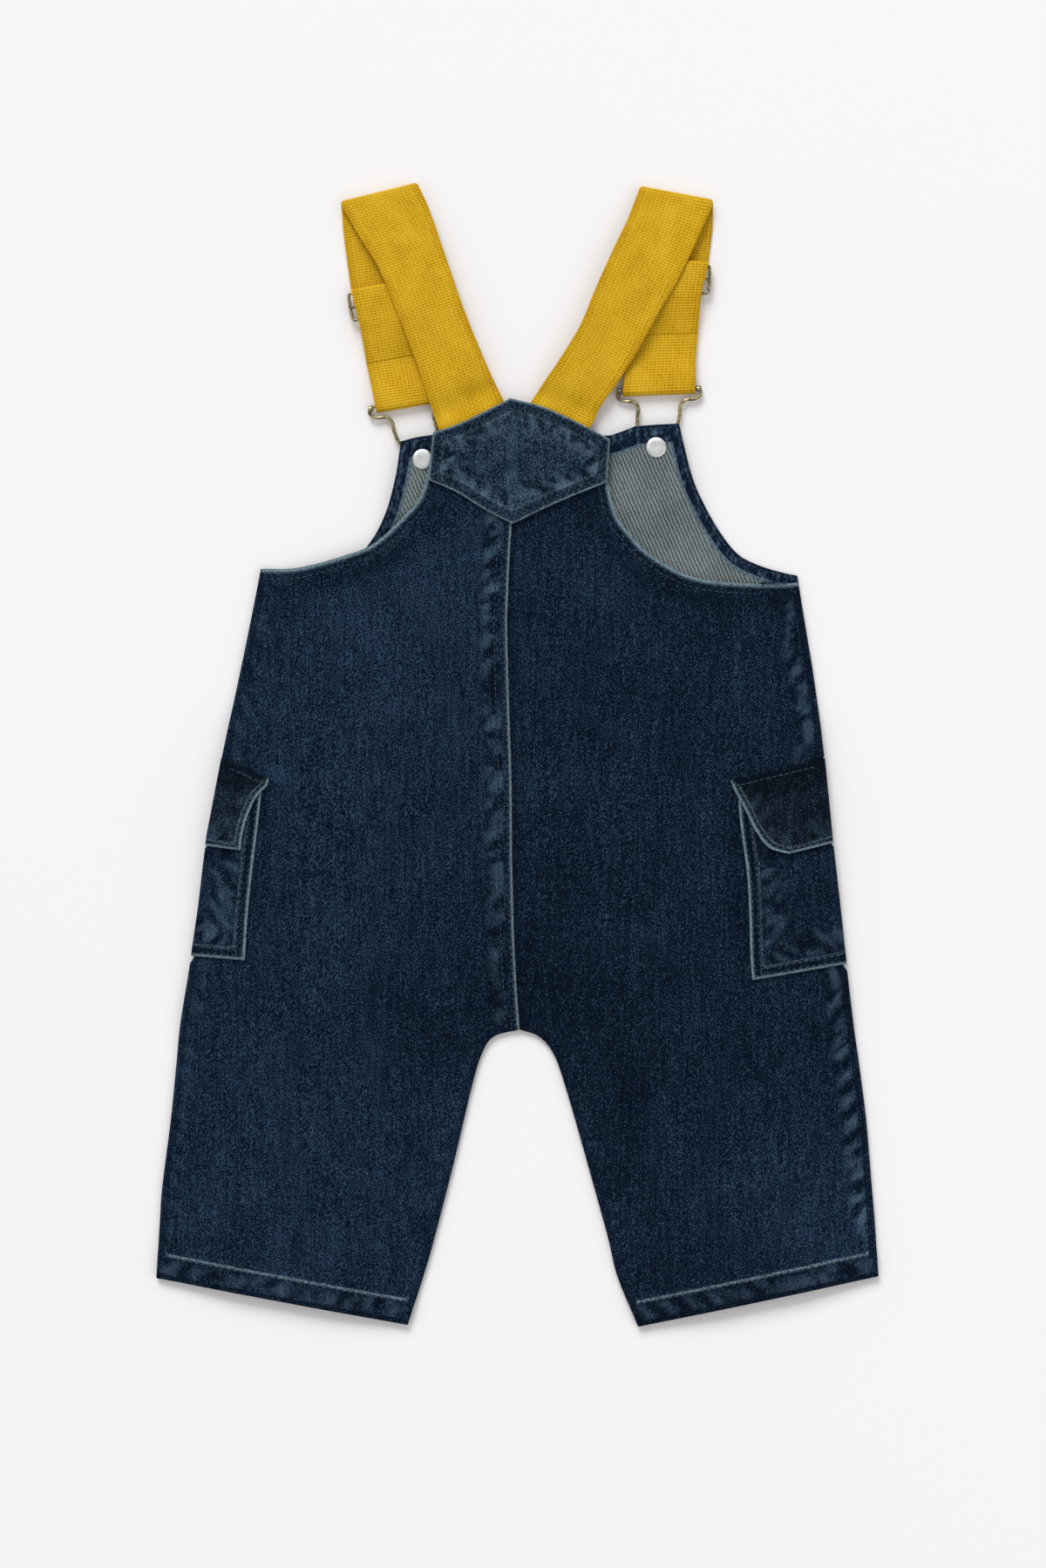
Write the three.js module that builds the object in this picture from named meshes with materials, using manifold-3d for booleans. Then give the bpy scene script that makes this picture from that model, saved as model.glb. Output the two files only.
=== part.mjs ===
// A baby's denim dungarees, laid flat with the back upwards.
// Millimetres. +X is the photo's right, +Y runs from the leg hems to the straps, +Z is up.
// The origin is on the surface that the garment lies on, under the middle of its outline.
import * as THREE from "three";
import Module from "manifold-3d";

const wasm = await Module();
wasm.setup();

// Driving sizes.
const denim = 1.0; // wall of one layer of denim
const webbing = 1.2; // wall of the strap webbing
const gap = 0.3; // between pieces that meet at a seam
const hemDepth = 12;
const hemRaise = 0.5; // the turned-up hem is thicker by this much
const felledWidth = 8; // flat-felled centre seam
const felledRaise = 0.5;
const bindDepth = 8; // turned edge of the armholes and of the bib
const bindRaise = 0.3;
const bevelRun = 0.8; // how far a raised band takes to fall back
const puffHeight = 2.6; // how far the back stands off the front
const puffReach = 45;
const yokeLift = 1.8; // the yoke lies over the strap ends and the back's top edge
const pocketWidth = 80;
const pocketInset = 1.7; // the body is this much narrower where a pocket wraps it
const flapInset = 1.2; // and by this much more under a flap
const wrapBulge = 1.4; // how far a patch's middle stands out where it turns round the side
const pocketGap = 0.45;
const wireRadius = 0.9; // buckle wire
const sliderRadius = 0.8;
const sliderWidth = 39;
const sliderLength = 15;
const buttonRadius = 8.5;
const buttonCap = 1.3;
const shankRadius = 2.5;
const tackRadius = 5;
const tackHeight = 0.8;
const bibLift = buttonCap + gap + 2 * wireRadius + gap; // underside of the bib over a buckle
const wireLevel = buttonCap + gap + wireRadius;
const waistY = 62.6; // seam between the bib and the legs of the front

const buttons = {
  left: { x: -46.7, y: 145.8 },
  right: { x: 68.5, y: 151.6 },
};

// One row for each section of a half of the body, from the hem up: its end at the inseam or
// centre seam, and its end at the side or armhole. A row with corner true ends a smooth run.
const halfRows = {
  right: [
    { innerX: 59.6, innerY: -282.3, outerX: 178.2, outerY: -257.4 },
    { innerX: 49.2, innerY: -257.4, outerX: 176.5, outerY: -231 },
    { innerX: 44.5, innerY: -238, outerX: 175, outerY: -213 },
    { innerX: 33.8, innerY: -199.3, outerX: 172.2, outerY: -180 },
    { innerX: 23.9, innerY: -164.9, outerX: 168.5, outerY: -151 },
    { innerX: 17.8, innerY: -147.7, outerX: 166.5, outerY: -137 },
    { innerX: 10.5, innerY: -139.1, outerX: 164.8, outerY: -124 },
    { innerX: 1.1, innerY: -135.7, outerX: 163.2, outerY: -110, corner: true },
    { innerX: -1.1, innerY: -100.4, outerX: 159.5, outerY: -76 },
    { innerX: -2.4, innerY: -57.4, outerX: 155.4, outerY: -41 },
    { innerX: -2.8, innerY: -14.4, outerX: 151.5, outerY: -2 },
    { innerX: -4.1, innerY: 28.6, outerX: 147, outerY: 34 },
    { innerX: -4.9, innerY: 62, outerX: 142.5, outerY: 62, waist: true },
    { innerX: -4.5, innerY: 78, outerX: 138.7, outerY: 84.9, corner: true },
    { innerX: -4.2, innerY: 86, outerX: 115.9, outerY: 84.5 },
    { innerX: -3.7, innerY: 96, outerX: 87.5, outerY: 87.5 },
    { innerX: -3.1, innerY: 106, outerX: 66.1, outerY: 98.5 },
    { innerX: -2.8, innerY: 111, outerX: 55.5, outerY: 109.1 },
    { innerX: -2.6, innerY: 116, outerX: 48.3, outerY: 119.8 },
    { innerX: -2.5, innerY: 122.5, outerX: 43.5, outerY: 141.5, corner: true },
  ],
  left: [
    { innerX: -54, innerY: -281.4, outerX: -178.2, outerY: -258.2 },
    { innerX: -46.2, innerY: -257.4, outerX: -176.6, outerY: -232 },
    { innerX: -40.6, innerY: -238, outerX: -175.3, outerY: -213 },
    { innerX: -30.7, innerY: -199.3, outerX: -171.1, outerY: -180 },
    { innerX: -22.6, innerY: -164.9, outerX: -168.2, outerY: -151 },
    { innerX: -17.4, innerY: -147.7, outerX: -166.9, outerY: -137 },
    { innerX: -11.4, innerY: -139.1, outerX: -165, outerY: -124 },
    { innerX: 1.1, innerY: -135.7, outerX: -162.6, outerY: -110, corner: true },
    { innerX: -1.1, innerY: -100.4, outerX: -157.6, outerY: -76 },
    { innerX: -2.4, innerY: -57.4, outerX: -153.3, outerY: -41 },
    { innerX: -2.8, innerY: -14.4, outerX: -145.9, outerY: -2 },
    { innerX: -4.1, innerY: 28.6, outerX: -138.3, outerY: 34 },
    { innerX: -4.9, innerY: 62, outerX: -132.5, outerY: 62, waist: true },
    { innerX: -4.5, innerY: 78, outerX: -126.6, outerY: 91.8, corner: true },
    { innerX: -4.2, innerY: 86, outerX: -107.3, outerY: 92.5 },
    { innerX: -3.7, innerY: 96, outerX: -78.9, outerY: 100.4 },
    { innerX: -3.3, innerY: 103, outerX: -67.3, outerY: 106.9 },
    { innerX: -2.9, innerY: 109, outerX: -55.7, outerY: 118 },
    { innerX: -2.7, innerY: 114, outerX: -47.9, outerY: 127.5 },
    { innerX: -2.5, innerY: 122.5, outerX: -43.2, outerY: 143.5, corner: true },
  ],
};

// The bib, from the waist seam up to its top edge, with the armhole on each side.
const bibRows = [
  { leftX: -132.4, leftY: waistY, rightX: 142.4, rightY: waistY, corner: true },
  { leftX: -126.8, leftY: 90, rightX: 138.3, rightY: 88.5, corner: true },
  { leftX: -110.7, leftY: 90.5, rightX: 130.3, rightY: 90.2 },
  { leftX: -95.7, leftY: 92.6, rightX: 119.6, rightY: 93.5 },
  { leftX: -80.6, leftY: 97, rightX: 109.7, rightY: 98.5 },
  { leftX: -71.4, leftY: 106.9, rightX: 101.7, rightY: 107.7 },
  { leftX: -64.8, leftY: 120, rightX: 93.1, rightY: 122 },
  { leftX: -60.2, leftY: 136.7, rightX: 86.1, rightY: 137.7 },
  { leftX: -57.4, leftY: 154.6, rightX: 79.7, rightY: 163.4, corner: true },
];
const bibTop = [
  { x: -57.4, y: 154.6 },
  { x: -50, y: 156.6 },
  { x: -42, y: 157.8 },
  { x: 0, y: 157.7 },
  { x: 46, y: 157.6 },
  { x: 52, y: 159.6 },
  { x: 58, y: 162 },
  { x: 68, y: 162.8 },
  { x: 79.7, y: 163.4 },
];

// The yoke, from its left edge to its right, with its lower and upper ends.
const yokeColumns = [
  { lowX: -43.9, lowY: 135.3, highX: -41.5, highY: 158.7, corner: true },
  { lowX: -29.4, lowY: 129, highX: -28, highY: 163.4 },
  { lowX: -16.3, lowY: 120.9, highX: -14.5, highY: 170 },
  { lowX: -2.4, lowY: 113.7, highX: -3.5, highY: 175.7, corner: true },
  { lowX: 14.4, lowY: 121.9, highX: 12, highY: 171.7 },
  { lowX: 28.5, lowY: 128, highX: 28.5, highY: 164.5 },
  { lowX: 44.3, lowY: 134.4, highX: 45.7, highY: 155.4, corner: true },
];

// Straps. The back run goes from its end under the yoke to the fold at the shoulder. The front
// run goes from the fold round the buckle up to that same shoulder fold. level is the height of
// the middle of the webbing, and no level means that it lies on what is under it.
const straps = {
  left: {
    back: [
      { leftX: -36.3, leftY: 154.2, rightX: -4.1, rightY: 168.8 },
      { leftX: -38.9, leftY: 161, rightX: -7.5, rightY: 176.1 },
      { leftX: -43.6, leftY: 174.8, rightX: -13.1, rightY: 187.7, level: 6.4 },
      { leftX: -48.4, leftY: 189.8, rightX: -18.7, rightY: 200.6, level: 6.8 },
      { leftX: -55.7, leftY: 209.2, rightX: -26, rightY: 218.7, level: 7.2 },
      { leftX: -62.1, leftY: 225.1, rightX: -32, rightY: 235.9, level: 7.2 },
      { leftX: -68.6, leftY: 240.6, rightX: -37.6, rightY: 252.2, level: 6 },
      { leftX: -76.3, leftY: 253.1, rightX: -41.5, rightY: 263.8, level: 5 },
      { leftX: -82.8, leftY: 264.2, rightX: -45.4, rightY: 273.7, level: 4.3 },
    ],
    front: [
      { leftX: -69.4, leftY: 168.8, rightX: -35.9, rightY: 174.4 },
      { leftX: -74.2, leftY: 192, rightX: -41.1, rightY: 198 },
      { leftX: -77.6, leftY: 211.3, rightX: -44.5, rightY: 217.4 },
      { leftX: -82.3, leftY: 230.7, rightX: -48.4, rightY: 236.3 },
      { leftX: -85.2, leftY: 252, rightX: -49.2, rightY: 259 },
      { leftX: -87.5, leftY: 273.3, rightX: -49.2, rightY: 282.7 },
    ],
    sliderAt: 61, // from the buckle fold to the slider's upper side
  },
  right: {
    back: [
      { leftX: 2.8, leftY: 166.6, rightX: 32, rightY: 153.7 },
      { leftX: 6.7, leftY: 173.9, rightX: 35.9, rightY: 161 },
      { leftX: 13.5, leftY: 184.3, rightX: 41.9, rightY: 173.1, level: 5.6 },
      { leftX: 21.7, leftY: 196.3, rightX: 49.2, rightY: 183, level: 6.3 },
      { leftX: 31.2, leftY: 212.2, rightX: 59.6, rightY: 199.7, level: 6.8 },
      { leftX: 38.5, leftY: 229.8, rightX: 69.4, rightY: 217.4, level: 7.2 },
      { leftX: 47.1, leftY: 248.8, rightX: 79.8, rightY: 235.4, level: 7.2 },
      { leftX: 54.4, leftY: 264.2, rightX: 87.9, rightY: 252.2, level: 5.7 },
      { leftX: 58.3, leftY: 274.2, rightX: 93.5, rightY: 264.7, level: 4.3 },
    ],
    front: [
      { leftX: 52.2, leftY: 176.9, rightX: 87.9, rightY: 178.2 },
      { leftX: 53.1, leftY: 192, rightX: 87.9, rightY: 192.9 },
      { leftX: 54.4, leftY: 209.2, rightX: 89.2, rightY: 210.1 },
      { leftX: 56.5, leftY: 226.4, rightX: 90.5, rightY: 226.4 },
      { leftX: 58.7, leftY: 243.6, rightX: 94, rightY: 241.4 },
      { leftX: 60.4, leftY: 266, rightX: 96.5, rightY: 261 },
      { leftX: 60.4, leftY: 281, rightX: 97, rightY: 274.1 },
    ],
    sliderAt: 66,
  },
};
const strapLow = webbing / 2; // the outer layer lies on the surface
const strapMiddle = strapLow + webbing + gap; // the inner layer lies on it
const sliderLevel = strapMiddle + webbing / 2 + gap + sliderRadius;
const strapOverSlider = sliderLevel + sliderRadius + gap + webbing / 2;
const tailLevel = strapMiddle + webbing + gap;
const shoulderLevel = 4.0; // middle of the back run where it reaches the shoulder fold
const strapTail = 36; // sewn-back end, from the slider

// Cargo pockets and flaps. side is where the row meets the side of the body, and under is how
// far it goes on beneath the front.
const pockets = {
  right: [
    { innerX: 108.5, innerY: -16, sideY: -6 },
    { innerX: 109.8, innerY: -34, sideY: -26 },
    { innerX: 113.1, innerY: -58.9, sideY: -50 },
    { innerX: 114.3, innerY: -79.5, sideY: -72 },
    { innerX: 114.8, innerY: -98, sideY: -90 },
    { innerX: 115.7, innerY: -111.1, sideY: -103.4 },
  ],
  left: [
    { innerX: -125.8, innerY: -16.6, sideY: -8 },
    { innerX: -127.5, innerY: -32, sideY: -26 },
    { innerX: -129.3, innerY: -47.1, sideY: -43 },
    { innerX: -131.6, innerY: -66.3, sideY: -63 },
    { innerX: -133.1, innerY: -81.5, sideY: -79 },
    { innerX: -134.3, innerY: -101.3, sideY: -99.3 },
  ],
};
const flaps = {
  right: [
    { innerX: 104.9, innerY: -12.7, sideY: -2.2, under: 36.6 },
    { innerX: 106.9, innerY: -17.8, sideY: -10, under: 35 },
    { innerX: 111.5, innerY: -26, sideY: -20, under: 31.6 },
    { innerX: 117.2, innerY: -37.5, sideY: -30, under: 27.6 },
    { innerX: 123.8, innerY: -45.8, sideY: -38, under: 21.6 },
    { innerX: 133.6, innerY: -48.9, sideY: -44.1, under: 13 },
  ],
  left: [
    { innerX: -122.4, innerY: -11.8, sideY: -2.6, under: 59 },
    { innerX: -123.2, innerY: -15.3, sideY: -10, under: 58 },
    { innerX: -128.5, innerY: -21, sideY: -18, under: 54 },
    { innerX: -133.1, innerY: -31, sideY: -28, under: 50 },
    { innerX: -135.5, innerY: -40.2, sideY: -37, under: 44 },
    { innerX: -136.2, innerY: -47.1, sideY: -45.2, under: 36 },
  ],
};
const underReach = { left: 60, right: 38 }; // widest reach beneath the front
const pocketSpan = { top: -2, bottom: -112 };
const flapSpan = { top: -2, bottom: -49 };

// Soft folds of the back, each a ridge along a line. Angle is from +X, in degrees.
const folds = [
  { x: 42, y: -128, angle: 38, length: 95, width: 15, height: 1.3 },
  { x: 62, y: -168, angle: 70, length: 90, width: 13, height: -1.1 },
  { x: -40, y: -132, angle: 140, length: 80, width: 14, height: 1.1 },
  { x: -88, y: -190, angle: 97, length: 120, width: 16, height: 0.9 },
  { x: 118, y: -190, angle: 84, length: 110, width: 14, height: 0.9 },
  { x: 70, y: 48, angle: 62, length: 110, width: 17, height: 1 },
  { x: -62, y: 20, angle: 99, length: 140, width: 18, height: 0.9 },
  { x: 34, y: -40, angle: 92, length: 120, width: 15, height: -0.7 },
];

// Small helpers.
const smooth = (t) => {
  const c = Math.min(Math.max(t, 0), 1);
  return c * c * (3 - 2 * c);
};
const mix = (a, b, t) => a + (b - a) * t;
const plateau = (distance, flat, fade) => 1 - smooth((distance - flat) / fade);
const outside = (v, low, high) => Math.max(low - v, v - high, 0);
const point = (x, y, z) => new THREE.Vector3(x, y, z);

// A table's value at v, read straight between rows; the rows' key column rises or falls.
function readTable(rows, key, value, v) {
  const rising = rows.at(-1)[key] > rows[0][key];
  const sorted = rising ? rows : [...rows].reverse();
  if (v <= sorted[0][key]) return sorted[0][value];
  for (let i = 1; i < sorted.length; i++) {
    const a = sorted[i - 1];
    const b = sorted[i];
    if (v <= b[key]) return mix(a[value], b[value], (v - a[key]) / (b[key] - a[key]));
  }
  return sorted.at(-1)[value];
}

// Splits each gap between rows into steps, curved through the rows but sharp at corners.
function smoothRows(rows, steps) {
  const keys = Object.keys(rows[0]).filter((k) => typeof rows[0][k] === "number");
  const made = [];
  for (let i = 0; i < rows.length - 1; i++) {
    const before = rows[i].corner || i === 0 ? null : rows[i - 1];
    const after = rows[i + 1].corner || i === rows.length - 2 ? null : rows[i + 2];
    const count = typeof steps === "function" ? steps(i) : steps;
    for (let s = 0; s < count; s++) {
      const t = s / count;
      const row = { station: i + t };
      for (const k of keys) {
        const a = rows[i][k];
        const b = rows[i + 1][k];
        const inSlope = before ? (b - before[k]) / 2 : b - a;
        const outSlope = after ? (after[k] - a) / 2 : b - a;
        row[k] = hermite(a, b, inSlope, outSlope, t);
      }
      made.push(row);
    }
  }
  made.push({ ...rows.at(-1), station: rows.length - 1 });
  return made;
}

function hermite(a, b, inSlope, outSlope, t) {
  const t2 = t * t;
  const t3 = t2 * t;
  return (
    (2 * t3 - 3 * t2 + 1) * a +
    (t3 - 2 * t2 + t) * inSlope +
    (3 * t2 - 2 * t3) * b +
    (t3 - t2) * outSlope
  );
}

// A closed wall between two grids of points, lower and upper, of the same size.
function wall(lower, upper) {
  const rows = lower.length;
  const cols = lower[0].length;
  const positions = [];
  const index = [];
  for (const grid of [lower, upper]) for (const row of grid) for (const p of row) positions.push(p.x, p.y, p.z);
  const low = (i, j) => i * cols + j;
  const high = (i, j) => rows * cols + i * cols + j;
  const quad = (a, b, c, d) => index.push(a, b, c, a, c, d);
  for (let i = 0; i < rows - 1; i++) {
    for (let j = 0; j < cols - 1; j++) {
      quad(high(i, j), high(i, j + 1), high(i + 1, j + 1), high(i + 1, j));
      quad(low(i, j), low(i + 1, j), low(i + 1, j + 1), low(i, j + 1));
    }
    quad(low(i, 0), high(i, 0), high(i + 1, 0), low(i + 1, 0));
    quad(low(i + 1, cols - 1), high(i + 1, cols - 1), high(i, cols - 1), low(i, cols - 1));
  }
  for (let j = 0; j < cols - 1; j++) {
    quad(low(0, j + 1), high(0, j + 1), high(0, j), low(0, j));
    quad(low(rows - 1, j), high(rows - 1, j), high(rows - 1, j + 1), low(rows - 1, j + 1));
  }
  const geometry = new THREE.BufferGeometry();
  geometry.setAttribute("position", new THREE.Float32BufferAttribute(positions, 3));
  geometry.setIndex(index);
  return facingOut(geometry);
}

// Turns a closed geometry's faces round if they point inwards.
function facingOut(geometry) {
  const p = geometry.getAttribute("position");
  const index = geometry.getIndex().array;
  const [a, b, c] = [point(), point(), point()];
  let volume = 0;
  for (let i = 0; i < index.length; i += 3) {
    a.fromBufferAttribute(p, index[i]);
    b.fromBufferAttribute(p, index[i + 1]);
    c.fromBufferAttribute(p, index[i + 2]);
    volume += a.dot(b.cross(c));
  }
  if (volume < 0) {
    for (let i = 0; i < index.length; i += 3) [index[i + 1], index[i + 2]] = [index[i + 2], index[i + 1]];
  }
  geometry.computeVertexNormals();
  return geometry;
}

// Grid of mid-surface points made into a wall of even thickness along its own normals.
function thicken(grid, thickness) {
  const rows = grid.length;
  const cols = grid[0].length;
  const lower = [];
  const upper = [];
  for (let i = 0; i < rows; i++) {
    lower.push([]);
    upper.push([]);
    for (let j = 0; j < cols; j++) {
      const along = grid[Math.min(i + 1, rows - 1)][j].clone().sub(grid[Math.max(i - 1, 0)][j]);
      const across = grid[i][Math.min(j + 1, cols - 1)].clone().sub(grid[i][Math.max(j - 1, 0)]);
      const normal = across.cross(along).normalize().multiplyScalar(thickness / 2);
      upper[i].push(grid[i][j].clone().add(normal));
      lower[i].push(grid[i][j].clone().sub(normal));
    }
  }
  return wall(lower, upper);
}

// Heights. Each layer of the garment is worked out from the one under it.
const sideLine = {
  left: halfRows.left.filter((r) => r.outerY < 92.5),
  right: halfRows.right.filter((r) => r.outerY < 84.95 && r.outerX > 116),
};
const sideX = (side, y) => readTable(sideLine[side], "outerY", "outerX", y);
const inset = (y) =>
  pocketInset * plateau(outside(y, pocketSpan.bottom, pocketSpan.top), 0, 5) +
  flapInset * plateau(outside(y, flapSpan.bottom, flapSpan.top), 0, 5);
const outward = { left: -1, right: 1 };

function pocketShare(x, y, span) {
  const along = plateau(outside(y, span.bottom, span.top), 12, 20);
  const reach = (side) => {
    const inwards = outward[side] * (sideX(side, y) - x);
    return plateau(inwards, underReach[side] + 10, 20);
  };
  return along * Math.max(reach("left"), reach("right"));
}

function buttonShare(x, y) {
  const one = (b) => plateau(Math.abs(x - b.x), 13, 24) * plateau(b.y - y, 12, 36);
  return Math.min(one(buttons.left) + one(buttons.right), 1);
}

function tackShare(x, y) {
  const one = (b) => plateau(Math.hypot(x - b.x, y - b.y), 8, 14);
  return Math.max(one(buttons.left), one(buttons.right));
}

const frontBottom = (x, y) =>
  (denim + gap) * (pocketShare(x, y, pocketSpan) + pocketShare(x, y, flapSpan)) +
  bibLift * buttonShare(x, y);

const outlines = [
  sideLine.left.map((r) => point(r.outerX, r.outerY, 0)),
  sideLine.right.map((r) => point(r.outerX, r.outerY, 0)),
  [
    ...halfRows.left.slice(0, 8).map((r) => point(r.innerX, r.innerY, 0)),
    ...halfRows.right.slice(0, 7).reverse().map((r) => point(r.innerX, r.innerY, 0)),
  ],
];

function edgeDistance(x, y) {
  const at = point(x, y, 0);
  const nearest = point();
  let best = Infinity;
  for (const line of outlines) {
    for (let i = 1; i < line.length; i++) {
      new THREE.Line3(line[i - 1], line[i]).closestPointToPoint(at, true, nearest);
      best = Math.min(best, nearest.distanceTo(at));
    }
  }
  return best;
}

function foldHeight(x, y) {
  let height = 0;
  for (const f of folds) {
    const angle = THREE.MathUtils.degToRad(f.angle);
    const dx = x - f.x;
    const dy = y - f.y;
    const along = dx * Math.cos(angle) + dy * Math.sin(angle);
    const across = -dx * Math.sin(angle) + dy * Math.cos(angle);
    const end = plateau(Math.abs(along), f.length * 0.15, f.length * 0.35);
    height += f.height * end * Math.exp(-((across / f.width) ** 2));
  }
  return height;
}

// Underside of whatever lies on the front: the back, or a strap end.
function overFront(x, y) {
  const distance = edgeDistance(x, y);
  const puff = puffHeight * smooth(distance / puffReach) * (1 - buttonShare(x, y));
  const fold = foldHeight(x, y) * smooth((distance - 6) / 24);
  const tack = (gap + tackHeight) * tackShare(x, y);
  return frontBottom(x, y) + denim + gap + hemAt(x, y) + puff + fold + tack;
}

// Extra wall of the turned hems, from the distance to the hem line of the leg.
function hemAt(x, y) {
  const side = x < 0 ? "left" : "right";
  const hem = halfRows[side][0];
  const length = Math.hypot(hem.outerX - hem.innerX, hem.outerY - hem.innerY);
  const away =
    Math.abs((hem.outerX - hem.innerX) * (y - hem.innerY) - (hem.outerY - hem.innerY) * (x - hem.innerX)) /
    length;
  return hemRaise * plateau(away, hemDepth, bevelRun * 2);
}

// One half of the body between its inner and outer edges, up to the row called last.
function halfGrid(side, last) {
  const rows = halfRows[side].slice(0, last + 1);
  const out = outward[side];
  const dense = smoothRows(rows, (i) => (i === 0 ? 1 : 2));
  const hem = hemRows(dense[0], dense[1]);
  return [...hem, ...dense.slice(1)].map((r) => {
    const start = point(r.innerX + (out * gap) / 2, r.innerY, 0);
    const end = point(r.outerX - out * inset(r.outerY), r.outerY, 0);
    const width = start.distanceTo(end);
    const near = [0, felledWidth, felledWidth + bevelRun];
    const far = [width - bindDepth - bevelRun, width - bindDepth, width];
    const inner = near.at(-1);
    const outer = far[0];
    const reach = width - underReach[side] - 4;
    const wide = smooth((width - 90) / 20);
    const byPocket = [mix(inner, reach - 20, 0.5), reach - 20, reach, mix(reach, outer, 0.5)];
    const middle = [0.2, 0.4, 0.6, 0.8].map((t, i) => mix(mix(inner, outer, t), byPocket[i], wide));
    const stops = [...near, ...middle, ...far];
    return {
      station: r.station,
      stops: stops.map((d) => ({ at: start.clone().lerp(end, d / width), fromInner: d, fromOuter: width - d })),
    };
  });
}

// The rows of the hem: its edge, the top of the turning and just above it.
function hemRows(edge, above) {
  const length = Math.hypot(above.outerX - edge.outerX, above.outerY - edge.outerY);
  return [0, hemDepth, hemDepth + bevelRun * 2].map((d) => {
    const row = { station: d / length };
    for (const k of ["innerX", "innerY", "outerX", "outerY"]) row[k] = mix(edge[k], above[k], d / length);
    return row;
  });
}

const crotchStation = halfRows.left.findIndex((r) => r.corner);
const waistStation = halfRows.left.findIndex((r) => r.waist);
const cornerStation = waistStation + 1;
const yokeStation = halfRows.left.length - 2;

function backPanel(side) {
  const grid = halfGrid(side, halfRows[side].length - 1);
  const lower = grid.map((row) => row.stops.map(({ at }) => point(at.x, at.y, overFront(at.x, at.y))));
  const upper = grid.map((row, i) =>
    row.stops.map((stop, j) => {
      const felled = side === "left" && row.station > crotchStation && row.station < yokeStation;
      const bound = row.station >= cornerStation && row.station < yokeStation;
      const raise =
        (felled && stop.fromInner <= felledWidth + 0.01 ? felledRaise : 0) +
        (bound && stop.fromOuter <= bindDepth + 0.01 ? bindRaise : 0);
      return lower[i][j].clone().add(point(0, 0, denim + raise + hemAt(stop.at.x, stop.at.y)));
    }),
  );
  return wall(lower, upper);
}

function frontLeg(side) {
  const grid = halfGrid(side, waistStation);
  const lower = grid.map((row) => row.stops.map(({ at }) => point(at.x, at.y, frontBottom(at.x, at.y))));
  const upper = lower.map((row) => row.map((p) => p.clone().add(point(0, 0, denim + hemAt(p.x, p.y)))));
  return wall(lower, upper);
}

function bib() {
  const rows = smoothRows(bibRows, 2);
  const lower = rows.map((r) => {
    const line = [0, 0.05, 0.06, 0.12, 0.2, 0.28, 0.38, 0.5, 0.6, 0.7, 0.78, 0.85, 0.91, 0.94, 0.95, 1];
    const share = r.station / (bibRows.length - 1);
    return line.map((t) => {
      const x = mix(r.leftX, r.rightX, t);
      const straight = mix(r.leftY, r.rightY, t);
      const top = mix(bibRows.at(-1).leftY, bibRows.at(-1).rightY, t);
      const dip = readTable(bibTop, "x", "y", mix(bibRows.at(-1).leftX, bibRows.at(-1).rightX, t)) - top;
      const y = straight + dip * share ** 3;
      return point(x, y, frontBottom(x, y));
    });
  });
  const upper = lower.map((row) => row.map((p) => p.clone().add(point(0, 0, denim))));
  return wall(lower, upper);
}

function yoke() {
  const columns = smoothRows(yokeColumns, 3);
  const lower = columns.map((c) =>
    [0, 0.12, 0.3, 0.5, 0.7, 0.88, 1].map((t) => {
      const x = mix(c.lowX, c.highX, t);
      const y = mix(c.lowY, c.highY, t);
      return point(x, y, overFront(x, y) + yokeLift);
    }),
  );
  const raised = (i, j) => (i < 1 || i > columns.length - 2 || j < 1 || j > 5 ? 0.3 : 0);
  const upper = lower.map((row, i) => row.map((p, j) => p.clone().add(point(0, 0, denim + raised(i, j)))));
  return wall(lower, upper);
}

// A row of webbing: points across it, at the height that level gives at each point.
function webbingRow(left, right, level) {
  const across = 4;
  return Array.from({ length: across + 1 }, (_, j) => {
    const p = left.clone().lerp(right, j / across);
    return point(p.x, p.y, level(p.x, p.y));
  });
}

// Half a turn of webbing round a line from left to right, in equal steps. heading is the way
// that the webbing runs before the turn; from and to are its levels before and after.
function turn(left, right, heading, from, to) {
  const radius = Math.abs(to - from) / 2;
  const middle = (from + to) / 2;
  const steps = 6;
  return Array.from({ length: steps + 1 }, (_, i) => {
    const angle = (Math.PI * i) / steps - Math.PI / 2;
    const shift = heading.clone().multiplyScalar(radius * Math.cos(angle) - radius - webbing / 2);
    const level = middle + ((to - from) / 2) * Math.sin(angle);
    return webbingRow(left.clone().add(shift), right.clone().add(shift), () => level);
  });
}

// The strap's edges on its front run, at a distance up from the buckle fold.
function frontRunAt(run, distance) {
  let travelled = 0;
  for (let i = 1; i < run.length; i++) {
    const a = centreOf(run[i - 1]);
    const b = centreOf(run[i]);
    const step = a.distanceTo(b);
    if (distance <= travelled + step || i === run.length - 1) {
      const t = (distance - travelled) / step;
      const row = {};
      for (const k of ["leftX", "leftY", "rightX", "rightY"]) row[k] = mix(run[i - 1][k], run[i][k], t);
      return row;
    }
    travelled += step;
  }
}
const leftOf = (r) => point(r.leftX, r.leftY, 0);
const rightOf = (r) => point(r.rightX, r.rightY, 0);
const centreOf = (r) => leftOf(r).lerp(rightOf(r), 0.5);
const acrossOf = (r) => rightOf(r).sub(leftOf(r)).normalize();
const upFrom = (r) => point(0, 0, 1).cross(acrossOf(r)).normalize();

function runLength(run) {
  let total = 0;
  for (let i = 1; i < run.length; i++) total += centreOf(run[i - 1]).distanceTo(centreOf(run[i]));
  return total;
}

// The row at which the inner layer of webbing turns over the slider's top bar.
const sliderRow = (side) => frontRunAt(straps[side].front, straps[side].sliderAt + 1.5);

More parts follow.
